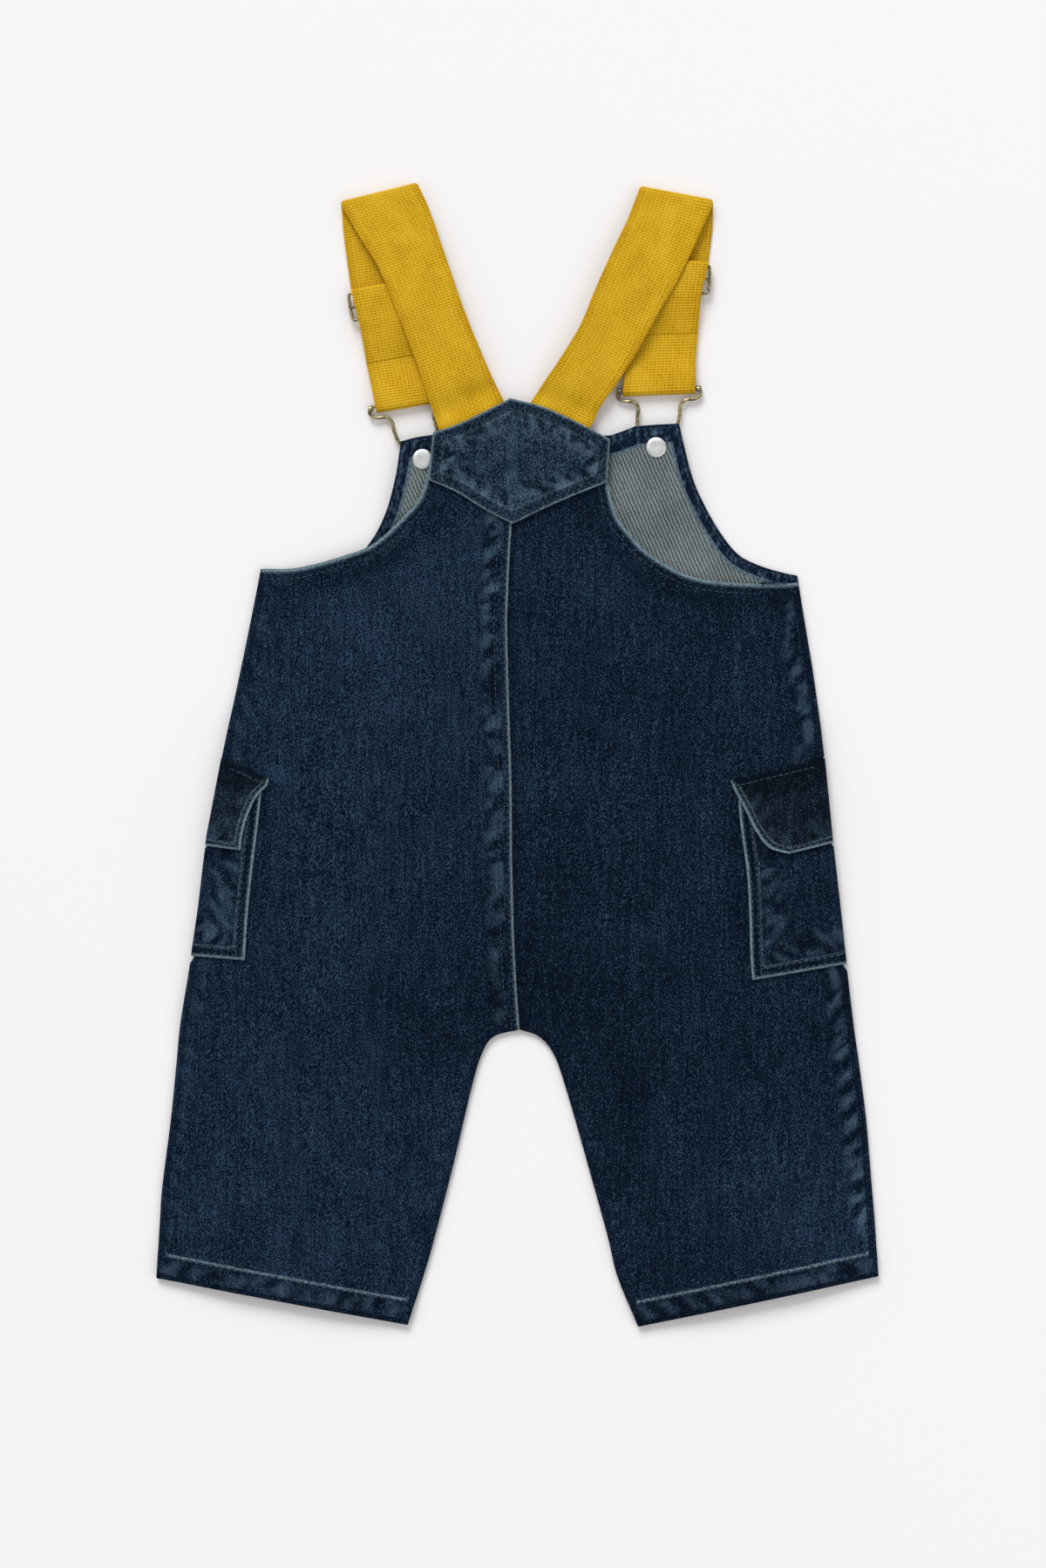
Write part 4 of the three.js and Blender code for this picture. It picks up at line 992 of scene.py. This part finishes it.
def yokePanel():
    stations = evenStations(yokeColumns, len(yokeColumns) - 1, 1.4)
    ends = readRows(yokeColumns, stations)
    share = np.linspace(0, 1, 44)[None, :, None]
    flat = ends[:, None, :2] * (1 - share) + ends[:, None, 2:] * share
    points = flat.reshape(-1, 2)
    border = np.concatenate([flat[:, 0], flat[-1, 1:], flat[::-1, -1][1:], flat[0, ::-1][1:]])
    crease = np.exp(-(((points[:, 0] - yokeLook["creaseX"]) / yokeLook["creaseHalf"]) ** 2))
    band = yokeLook["seam"][0]
    seams = [(border, *yokeLook["seam"])]
    relief, facts = seamFacts(points, seams, seeds["yoke"], 0.09 * crease, spacing=5.0)
    darkBand(facts, 0.1)
    relief += yokeLook["creaseRise"] * crease
    relief += yokeLook["edgeRise"] * plateau(facts["seamPlace"][:, 1], band, 1.4)
    level = overFront(points[:, 0], points[:, 1]) + cloth["yokeLift"] + cloth["denim"] + relief
    place = np.column_stack([points, level]).reshape(*flat.shape[:2], 3)
    piece = placePiece("yokePanel", clothMesh("yoke", place, facts), [yokeFace], ["yoke"])
    addWall(piece, cloth["denim"])
    sewn = [(border, border.mean(axis=0), (outerRow, band - innerRow))]
    sewOn(piece, sewn)


yokePanel()
print("bib and yoke made")

# Pockets and flaps, wrapped round the sides. Each row: inner x and y, and y at the side.
pockets = {
    "right": [
        (108.5, -16, -6),
        (109.8, -34, -26),
        (113.1, -58.9, -50),
        (114.3, -79.5, -72),
        (114.8, -98, -90),
        (115.7, -111.1, -103.4),
    ],
    "left": [
        (-125.8, -16.6, -8),
        (-127.5, -32, -26),
        (-129.3, -47.1, -43),
        (-131.6, -66.3, -63),
        (-133.1, -81.5, -79),
        (-134.3, -101.3, -99.3),
    ],
}
flaps = {  # and how far the row goes on beneath the front
    "right": [
        (104.9, -12.7, -2.2, 36.6),
        (106.9, -17.8, -10, 35),
        (111.5, -26, -20, 31.6),
        (117.2, -37.5, -30, 27.6),
        (123.8, -45.8, -38, 21.6),
        (133.6, -48.9, -44.1, 13),
    ],
    "left": [
        (-122.4, -11.8, -2.6, 59),
        (-123.2, -15.3, -10, 58),
        (-128.5, -21, -18, 54),
        (-133.1, -31, -28, 50),
        (-135.5, -40.2, -37, 44),
        (-136.2, -47.1, -45.2, 36),
    ],
}
patchLook = {"overColumns": 28, "turnColumns": 9, "underColumns": 26, "grid": 1.6}
pocketLook = {
    "stands": "pocket",
    "seed": {"left": 41.0, "right": 47.0},
    "lift": cloth["pocketGap"] + cloth["denim"] / 2,
    "bulge": cloth["wrapBulge"],
    "cut": (0.086, 0.1),
    "area": 0.0085,
    "seam": (5.6, 1.1, 0.75, 0.3, 0.3, 5.5, 23),  # columns as in seamFacts
    "topSeam": (6.0, 0.0, 0.2, 0.0, 0.1, 2, 12),
    "needleRows": (outerRow, 5.6 - innerRow),
    "bandShade": 0.16,
    "topShade": -0.2,  # the shadowed strip beneath the flap
    "topReach": 36.0,
}
flapLook = {
    "stands": "pocket_flap",
    "seed": {"left": 53.0, "right": 59.0},
    "lift": 2 * cloth["pocketGap"] + 1.5 * cloth["denim"],
    "bulge": cloth["wrapBulge"] + cloth["denim"] + cloth["gap"],
    "cut": (0.088, 0.048),
    "area": 0.0035,
    "seam": (3.0, 1.1, 0.35, 0.4, 0.22, 2.6, 14),
    "topSeam": (3.2, 0.0, 0.3, 0.0, 0.2, 1, 9),
    "needleRows": (outerRow,),
    "bandShade": 0.05,
    "topShade": -0.26,
    "topReach": 5.0,
}
sideShade = {"left": -0.03, "right": -0.13}  # the right side is darker


# One patch, over the back, round the side and on beneath the front. The values of its rows and
# their lengths over the back give how far each goes on beneath.
def wrapPatch(name, side, rows, columns, look, underLevel, underLength, material):
    out = outward[side]
    stations = evenStations(rows, len(rows) - 1, patchLook["grid"], columns)
    values = readRows(rows, stations, columns)
    start = values[:, :2]
    sideY = values[:, 2]
    edge = np.stack([sideX(side, sideY) - out * inset(side, sideY), sideY], axis=1)
    along = edge - start
    overLength = np.linalg.norm(along, axis=1)
    along /= overLength[:, None]
    rise = sideX(side, sideY + 5) - sideX(side, sideY - 5)
    sideUp = np.stack([rise, np.full_like(sideY, 10.0)], axis=1)
    sideUp /= np.linalg.norm(sideUp, axis=1)[:, None]
    back = -along + 2 * (along * sideUp).sum(1)[:, None] * sideUp

    def levelOn(x, y):
        return overFront(x, y) + cloth["denim"] + look["lift"]

    share = np.linspace(0, 1, patchLook["overColumns"])[None, :, None]
    over = start[:, None] * (1 - share) + edge[:, None] * share
    overZ = levelOn(over[..., 0].ravel(), over[..., 1].ravel()).reshape(over.shape[:2])
    high, low = levelOn(edge[:, 0], edge[:, 1]), underLevel(sideY)
    angle = np.linspace(0, math.pi, patchLook["turnColumns"] + 2)[1:-1]
    turn = edge[:, None] + along[:, None] * (look["bulge"] * np.sin(angle))[None, :, None]
    turnZ = ((high + low) / 2)[:, None] + (high - low)[:, None] / 2 * np.cos(angle)
    reach = underLength(values, overLength)
    share = np.linspace(0, 1, patchLook["underColumns"])[None, :]
    under = edge[:, None] + back[:, None] * (reach[:, None] * share)[..., None]
    underZ = np.repeat(low[:, None], patchLook["underColumns"], axis=1)
    flat = np.concatenate([over, turn, under], axis=1)
    level = np.concatenate([overZ, turnZ, underZ], axis=1)
    place = np.concatenate([flat, level[..., None]], axis=2)

    # the patch rolled out: run across it, and its own height
    steps = np.linalg.norm(np.diff(place, axis=1), axis=2)
    run = np.concatenate([np.zeros((len(place), 1)), np.cumsum(steps, axis=1)], axis=1)
    run -= run[:, patchLook["overColumns"], None]
    rolled = np.stack([run, np.repeat(sideY[:, None], run.shape[1], axis=1)], axis=2)
    points = rolled.reshape(-1, 2)
    seams = [(line, *look["seam"]) for line in (rolled[:, 0], rolled[-1], rolled[:, -1])]
    seams.append((rolled[0], *look["topSeam"]))
    below = np.repeat(np.linalg.norm(start - start[0], axis=1), rolled.shape[1])
    shade = look["topShade"] * plateau(below, look["topReach"], 8) + sideShade[side]
    relief, facts = seamFacts(points, seams, look["seed"][side], shade, spacing=4.8)
    darkBand(facts, look["bandShade"])
    relief = relief.reshape(level.shape)
    relief[:, patchLook["overColumns"] :] = 0
    place[..., 2] += np.maximum(relief, -0.12)
    mesh = clothMesh(name, place, facts)
    piece = placePiece(f"{name}Piece_{side}", mesh, [material], [f"{look['stands']}_{side}"])
    addWall(piece, cloth["denim"], offset=0.0)
    sewn = [
        (over[:, 0], over[:, 1], look["needleRows"]),
        (over[-1], over[-2], look["needleRows"]),
        (over[0], over[1], (look["topSeam"][0],)),
    ]
    sewOn(piece, sewn)


def pocketUnder(sideY):
    layer = cloth["denim"] + cloth["gap"]
    return cloth["denim"] / 2 + layer * plateau(outside(sideY, *flapSpan), 3, 14)


def flapUnder(sideY):
    return np.full_like(sideY, cloth["denim"] / 2)


def pocketReach(values, overLength):
    return cloth["pocketWidth"] - overLength


def flapReach(values, overLength):
    return values[:, 3]


for side in outward:
    wrapPatch("pocket", side, pockets[side], 3, pocketLook, pocketUnder, pocketReach, denimFace)
    wrapPatch("flap", side, flaps[side], 4, flapLook, flapUnder, flapReach, flapFace)
print("pockets and flaps made")

# Straps. Each row: left edge x and y, right edge x and y, and the level of the back run.
straps = {
    "left": {
        "back": [
            (-36.3, 154.2, -4.1, 168.8, 0),
            (-38.9, 161, -7.5, 176.1, 0),
            (-43.6, 174.8, -13.1, 187.7, 6.4),
            (-48.4, 189.8, -18.7, 200.6, 6.8),
            (-55.7, 209.2, -26, 218.7, 7.2),
            (-62.1, 225.1, -32, 235.9, 7.2),
            (-68.6, 240.6, -37.6, 252.2, 6),
            (-76.3, 253.1, -41.5, 263.8, 5),
            (-82.8, 264.2, -45.4, 273.7, 4.3),
        ],
        "front": [
            (-69.4, 168.8, -35.9, 174.4),
            (-74.2, 192, -41.1, 198),
            (-77.6, 211.3, -44.5, 217.4),
            (-82.3, 230.7, -48.4, 236.3),
            (-85.2, 252, -49.2, 259),
            (-87.5, 273.3, -49.2, 282.7),
        ],
        "sliderAt": 61.0,
    },
    "right": {
        "back": [
            (2.8, 166.6, 32, 153.7, 0),
            (6.7, 173.9, 35.9, 161, 0),
            (13.5, 184.3, 41.9, 173.1, 5.6),
            (21.7, 196.3, 49.2, 183, 6.3),
            (31.2, 212.2, 59.6, 199.7, 6.8),
            (38.5, 229.8, 69.4, 217.4, 7.2),
            (47.1, 248.8, 79.8, 235.4, 7.2),
            (54.4, 264.2, 87.9, 252.2, 5.7),
            (58.3, 274.2, 93.5, 264.7, 4.3),
        ],
        "front": [
            (52.2, 176.9, 87.9, 178.2),
            (53.1, 192, 87.9, 192.9),
            (54.4, 209.2, 89.2, 210.1),
            (56.5, 226.4, 90.5, 226.4),
            (58.7, 243.6, 94, 241.4),
            (60.4, 266, 96.5, 261),
            (60.4, 281, 97, 274.1),
        ],
        "sliderAt": 66.0,
    },
}
slider = {"width": 39.0, "length": 15.0, "corner": 1.2}
strapLow = cloth["webbing"] / 2
strapMiddle = strapLow + cloth["webbing"] + cloth["gap"]
sliderLevel = strapMiddle + cloth["webbing"] / 2 + cloth["gap"] + wire["slider"]
strapOverSlider = sliderLevel + wire["slider"] + cloth["gap"] + cloth["webbing"] / 2
strapPath = {
    "columns": 18,
    "face": 2.2,  # length of one face
    "shoulderLevel": 4.0,
    "shoulderClear": 14.0,  # the front run starts this far from the shoulder's fold
    "loopClear": 9.0,  # and ends this far from the buckle's loop
    "loopRise": 16.0,  # the length over which the inner layer comes down behind the buckle
    "sliderClear": 1.5,
    "tail": 36.0,  # from the slider's fold to the strap's own end
    "tailLift": 0.15,  # the pressed end over the layer below
    "pressed": 12.0,  # length that is pressed thin
    "pressedShare": 0.15,
    "pinch": 1.4,  # how far a shoulder fold draws in at each side
    "rounding": 0.35,
}
tailLevel = strapMiddle + cloth["webbing"] / 2 + strapPath["tailLift"]


# The row at a distance up the strap's front, and the whole length of the front.
def runAt(run, distance):
    run = np.array(run, float)
    centres = (run[:, :2] + run[:, 2:4]) / 2
    steps = np.linalg.norm(np.diff(centres, axis=0), axis=1)
    begun = np.concatenate([[0], np.cumsum(steps)])
    return np.array([np.interp(distance, begun, run[:, k]) for k in range(4)]), begun[-1]


def upFrom(row):
    across = (row[2:4] - row[:2]) / np.linalg.norm(row[2:4] - row[:2])
    return np.array([-across[1], across[0]])


def edgeRow(row, level):
    return np.array([[row[0], row[1], level], [row[2], row[3], level]])


# Rows round a fold; the cloth draws in by pinch at each side of its outermost row.
def turnRows(row, heading, fromLevel, toLevel, steps=12, pinch=0.0):
    radius = abs(toLevel - fromLevel) / 2
    across = (row[2:] - row[:2]) / np.linalg.norm(row[2:] - row[:2])
    made = []
    for i in range(steps + 1):
        angle = math.pi * i / steps - math.pi / 2
        shift = heading * (radius * math.cos(angle) - radius - cloth["webbing"] / 2)
        drawn = across * pinch * max(math.cos(angle), 0.0) ** 2
        level = (fromLevel + toLevel) / 2 + (toLevel - fromLevel) / 2 * math.sin(angle)
        made.append(edgeRow(row + np.concatenate([shift + drawn, shift - drawn]), level))
    return made


def strapPiece(side):
    spec, shape = straps[side], strapPath
    front, sliderAt = spec["front"], spec["sliderAt"]
    back = [(*row, 0) for row in spec["back"]]
    stations = np.linspace(0, len(back) - 1, (len(back) - 1) * 6 + 1)
    values = readRows(back, stations, 5)
    rows = []
    for station, value in zip(stations, values):
        lying = overFront(value[[0, 2]], value[[1, 3]]) + cloth["webbing"] / 2
        share = float(smooth(station - 1)) if station > 1 else 0.0
        level = lying * (1 - share) + value[4] * share
        rows.append(np.array([[value[0], value[1], level[0]], [value[2], value[3], level[1]]]))
    length = runAt(front, 0)[1]
    top, bottom = runAt(front, length)[0], runAt(front, 0)[0]

    # down the front, round the buckle's wire, and up inside to the slider
    rows += turnRows(top, upFrom(top), shape["shoulderLevel"], strapLow, pinch=shape["pinch"])
    for distance in np.arange(length - shape["shoulderClear"], shape["loopClear"], -4):
        rows.append(edgeRow(runAt(front, distance)[0], strapLow))
    loopTop = strapLow + 2 * (wireLevel - strapLow)
    rows += turnRows(bottom, -upFrom(bottom), strapLow, loopTop)
    begin = shape["loopClear"] - 2
    end = begin + shape["loopRise"]
    for distance in np.arange(begin, end + 1, 2):
        level = loopTop + (strapMiddle - loopTop) * float(smooth((distance - begin) / shape["loopRise"]))
        rows.append(edgeRow(runAt(front, distance)[0], level))
    for distance in np.arange(end + 3, sliderAt - 10, 4):
        rows.append(edgeRow(runAt(front, distance)[0], strapMiddle))

    # round the slider and down to its own end, on the layer below
    fold = runAt(front, sliderAt + shape["sliderClear"])[0]
    rows += turnRows(fold, upFrom(fold), strapMiddle, strapOverSlider)
    past = sliderAt - slider["length"] - shape["sliderClear"]
    for share in np.linspace(0, 1, 12):
        distance = past + (sliderAt - shape["tail"] - past) * share
        level = strapOverSlider + (tailLevel - strapOverSlider) * share
        rows.append(edgeRow(runAt(front, distance)[0], level))
    rows = np.array(rows)
    filled = []
    for a, b in zip(rows[:-1], rows[1:]):
        count = max(int(np.linalg.norm((b - a).mean(0)) / shape["face"]), 1)
        filled += [a + (b - a) * i / count for i in range(count)]
    rows = np.array(filled + [rows[-1]])
    share = np.linspace(0, 1, shape["columns"] + 1)[None, :, None]
    place = rows[:, :1] * (1 - share) + rows[:, 1:] * share

    # where each point is in the weave: across it, along it, and from the nearer selvedge
    steps = np.linalg.norm(np.diff(rows.mean(1), axis=0), axis=1)
    along = np.concatenate([[0], np.cumsum(steps)])
    width = np.linalg.norm(rows[:, 1] - rows[:, 0], axis=1)
    across = width[:, None] * share[..., 0]
    selvedge = np.minimum(across, width[:, None] - across)
    weave = np.stack([across, np.broadcast_to(along[:, None], across.shape), selvedge], axis=2)
    mesh = clothMesh(f"strap_{side}", place, {"weavePlace": weave})
    piece = placePiece(f"webbingStrap_{side}", mesh, [webbing], [f"strap_{side}"])
    wall = addWall(piece, cloth["webbing"], offset=0.0)
    # the end is pressed thin
    pressed = piece.vertex_groups.new(name="pressed")
    for vert, spot in zip(mesh.vertices, mesh.attributes["weavePlace"].data):
        share = (along[-1] - spot.vector.y) / shape["pressed"]
        pressed.add([vert.index], float(np.clip(share, shape["pressedShare"], 1)), "REPLACE")
    wall.vertex_group = "pressed"
    rounding = piece.modifiers.new("selvedge", "BEVEL")
    rounding.width = shape["rounding"] / 1000
    rounding.segments = 2
    rounding.limit_method = "ANGLE"
    rounding.angle_limit = math.radians(50)


for side in outward:
    strapPiece(side)
print("straps made")


# Wire fittings
def wireMesh(name, points, radius, closed=True):
    curve = bpy.data.curves.new(name, "CURVE")
    curve.dimensions = "3D"
    curve.bevel_depth = radius / 1000
    curve.bevel_resolution = 4
    curve.resolution_u = 5
    curve.use_fill_caps = True
    spline = curve.splines.new("BEZIER")
    spline.bezier_points.add(len(points) - 1)
    for bend, point in zip(spline.bezier_points, points):
        bend.co = Vector(point) / 1000
        bend.handle_left_type = bend.handle_right_type = "AUTO"
    spline.use_cyclic_u = closed
    holder = bpy.data.objects.new(name, curve)
    bpy.context.collection.objects.link(holder)
    mesh = bpy.data.meshes.new_from_object(holder.evaluated_get(bpy.context.evaluated_depsgraph_get()))
    bpy.data.objects.remove(holder)
    return mesh


# Flat points turned by an angle and moved to a place.
def turned(points, at, angle):
    c, s = math.cos(angle), math.sin(angle)
    return [(at[0] + c * x - s * y, at[1] + s * x + c * y, at[2]) for x, y in points]


def joinMeshes(name, meshes):
    bm = bmesh.new()
    for mesh in meshes:
        bm.from_mesh(mesh)
    return finishMesh(bm, name)


# A short round bar between two points, with softened ends.
def barMesh(name, start, end, radius, segments=16):
    start, end = Vector(start) / 1000, Vector(end) / 1000
    bm = bmesh.new()
    wide, depth = radius / 1000, (end - start).length
    bmesh.ops.create_cone(bm, cap_ends=True, segments=segments, radius1=wide, radius2=wide, depth=depth)
    rims = [edge for edge in bm.edges if abs(edge.verts[0].co.z - edge.verts[1].co.z) < 1e-7]
    bmesh.ops.bevel(bm, geom=rims, offset=wide / 4, segments=2, profile=0.5, affect="EDGES", material=-1)
    turn = (end - start).to_track_quat("Z", "Y").to_matrix().to_4x4()
    bmesh.ops.transform(bm, matrix=turn, verts=bm.verts)
    bmesh.ops.translate(bm, vec=(start + end) / 2, verts=bm.verts)
    return finishMesh(bm, name)


buckle = {
    "halfLength": 19.6,
    "half": [(19.6, 0), (20.4, -2.4), (18.2, -4.6), (13, -5.4), (10.6, -7.6), (10.4, -13), (9.6, -18.5)],
    "bendY": -4.0,
    "keyhole": 4.9,
    "collarLength": 2.6,
    "collarRadius": 1.5,
}


def buckleWire(side):
    row = np.array(straps[side]["front"][0], float)
    centre = (row[:2] + row[2:4]) / 2 + upFrom(row) * (wireLevel - strapLow + cloth["webbing"] / 2)
    angle = math.atan2(row[3] - row[1], row[2] - row[0])
    shank = np.array(buttons[side]) - centre
    c, s = math.cos(angle), math.sin(angle)
    shank = (c * shank[0] + s * shank[1], -s * shank[0] + c * shank[1])
    right = buckle["half"]
    left = [(-x, y) for x, y in reversed(right)]
    hole = shank[1] + buckle["keyhole"] - wire["buckle"] - button["shank"] - cloth["gap"]
    keyhole = [
        (buckle["keyhole"] * math.cos(-math.pi * t), hole + buckle["keyhole"] * math.sin(-math.pi * t))
        for t in (0.1, 0.25, 0.5, 0.75, 0.9)
    ]
    line = right + keyhole + left + [(-12, 0), (0, 0), (12, 0)]
    # the lower part leans over to the button
    bend = buckle["bendY"]
    line = [(x + shank[0] * float(smooth((bend - y) / (bend - shank[1]))), y) for x, y in line]
    at = (*centre, wireLevel)
    meshes = [wireMesh(f"buckle_{side}", turned(line, at, angle), wire["buckle"])]
    half = buckle["collarLength"] / 2
    for sign in (-1, 1):
        ends = [(sign * (buckle["halfLength"] + along), 0) for along in (-half, half)]
        meshes.append(barMesh("collar", *turned(ends, at, angle), buckle["collarRadius"]))
    mesh = joinMeshes(f"buckle_{side}", meshes)
    placePiece(f"buckleWire_{side}", mesh, [agedBrass], [f"buckle_{side}"], smoothAngle=50)


def sliderFrame(side):
    row = runAt(straps[side]["front"], straps[side]["sliderAt"] + strapPath["sliderClear"])[0]
    inwards = sliderLevel - strapMiddle + cloth["webbing"] / 2 + slider["length"] / 2 - wire["slider"]
    centre = (row[:2] + row[2:4]) / 2 - upFrom(row) * inwards
    angle = math.atan2(row[3] - row[1], row[2] - row[0])
    halfWidth = slider["width"] / 2 - wire["slider"]
    halfLength = slider["length"] / 2 - wire["slider"]
    corner = slider["corner"]
    quarter = [
        (halfWidth, halfLength - corner),
        (halfWidth - corner * 0.3, halfLength - corner * 0.3),
        (halfWidth - corner, halfLength),
        (halfWidth * 0.7, halfLength),
    ]
    line = (
        quarter
        + [(-x, y) for x, y in reversed(quarter)]
        + [(-x, -y) for x, y in quarter]
        + [(x, -y) for x, y in reversed(quarter)]
    )
    at = (*centre, sliderLevel)
    rim = wireMesh(f"slider_{side}", turned(line, at, angle), wire["slider"])
    middle = barMesh("bar", *turned([(-halfWidth, 0), (halfWidth, 0)], at, angle), wire["slider"])
    mesh = joinMeshes(f"slider_{side}", [rim, middle])
    placePiece(f"sliderFrame_{side}", mesh, [agedBrass], [f"slider_{side}"], smoothAngle=50)


# A round fitting: a profile of radius and height, spun about the button's axis.
def spunMesh(name, profile, at, steps=40):
    bm = bmesh.new()
    verts = [bm.verts.new((r / 1000, 0, z / 1000)) for r, z in profile]
    edges = [bm.edges.new(pair) for pair in zip(verts[:-1], verts[1:])]
    bmesh.ops.spin(
        bm,
        geom=verts + edges,
        cent=(0, 0, 0),
        axis=(0, 0, 1),
        angle=2 * math.pi,
        steps=steps,
        use_merge=True,
    )
    bmesh.ops.remove_doubles(bm, verts=bm.verts, dist=1e-6)
    bmesh.ops.recalc_face_normals(bm, faces=bm.faces)
    bmesh.ops.translate(bm, vec=(at[0] / 1000, at[1] / 1000, 0), verts=bm.verts)
    return finishMesh(bm, name)


# Profiles from the middle outwards: share of the radius and height in mm for the button's
# face, and share of the radius and of the height for the tack.
buttonFace = [(0, 0.35), (0.55, 0.3), (0.62, 0.12), (0.8, 0), (0.93, 0.12), (1, 0.5)]
tackProfile = [
    (0, 0), (0.97, 0), (1, 0.25), (0.97, 0.5), (0.85, 0.72), (0.55, 0.86), (0.25, 0.7), (0, 0.62),
]


def buttonPieces(side):
    at = buttons[side]
    top = bibLift - cloth["gap"]
    radius, cap, shank = button["radius"], button["cap"], button["shank"]
    head = [(radius * share, z) for share, z in buttonFace]
    head += [(radius, cap - 0.35), (radius * 0.96, cap), (shank, cap), (shank, top), (0, top)]
    mesh = spunMesh(f"button_{side}", head, at)
    nodes = [f"button_{side}"]
    placePiece(f"jeansButton_{side}", mesh, [nickelPlate], nodes, smoothAngle=40)
    low = bibLift + cloth["denim"] + cloth["gap"]
    rim, rise = button["tackRadius"], button["tackHeight"]
    disc = [(rim * share, low + rise * up) for share, up in tackProfile]
    mesh = spunMesh(f"tack_{side}", disc, at)
    nodes = [f"button_tack_{side}"]
    placePiece(f"tackDisc_{side}", mesh, [nickelPlate], nodes, smoothAngle=50)


for side in outward:
    buckleWire(side)
    sliderFrame(side)
    buttonPieces(side)
print("fittings made")

# Pale floor and soft light
floorLook = {"colour": "#fbf9fa", "half": 8.0, "level": -0.0002}  # metres
bm = bmesh.new()
bmesh.ops.create_grid(bm, x_segments=1, y_segments=1, size=floorLook["half"])
bmesh.ops.translate(bm, vec=(0, 0, floorLook["level"]), verts=bm.verts)
floorMesh = finishMesh(bm, "floor")
floor = bpy.data.objects.new("floor", floorMesh)
bpy.context.collection.objects.link(floor)
paper, _, surface = newMaterial("matt paper backdrop")  # one even tone, with no gloss
paperColour = hexColour(floorLook["colour"])
setSockets(surface, {"Base Color": paperColour, "Roughness": 0.95, "Specular IOR Level": 0.1})
floorMesh.materials.append(paper)

# Standard keeps the cloth's colours as they are given
bpy.context.scene.view_settings.view_transform = "Standard"
lights = [  # name, place, size, power
    ("key", (-2.7, 9.3, 7.5), 6.0, 990.0),  # far off, so that the floor is lit evenly
    ("fill", (1.3, -0.9, 1.8), 1.8, 6.0),
]
for name, place, size, power in lights:
    data = bpy.data.lights.new(name, "AREA")
    data.size = size
    data.energy = power
    lamp = bpy.data.objects.new(name, data)
    lamp.location = place
    lamp.rotation_mode = "QUATERNION"
    lamp.rotation_quaternion = (-Vector(place)).to_track_quat("-Z", "Y")
    bpy.context.collection.objects.link(lamp)
world = bpy.data.worlds.new("soft studio")
world.use_nodes = True
setSockets(world.node_tree.nodes["Background"], {"Color": (1.0, 1.0, 1.0, 1.0), "Strength": 0.52})
bpy.context.scene.world = world
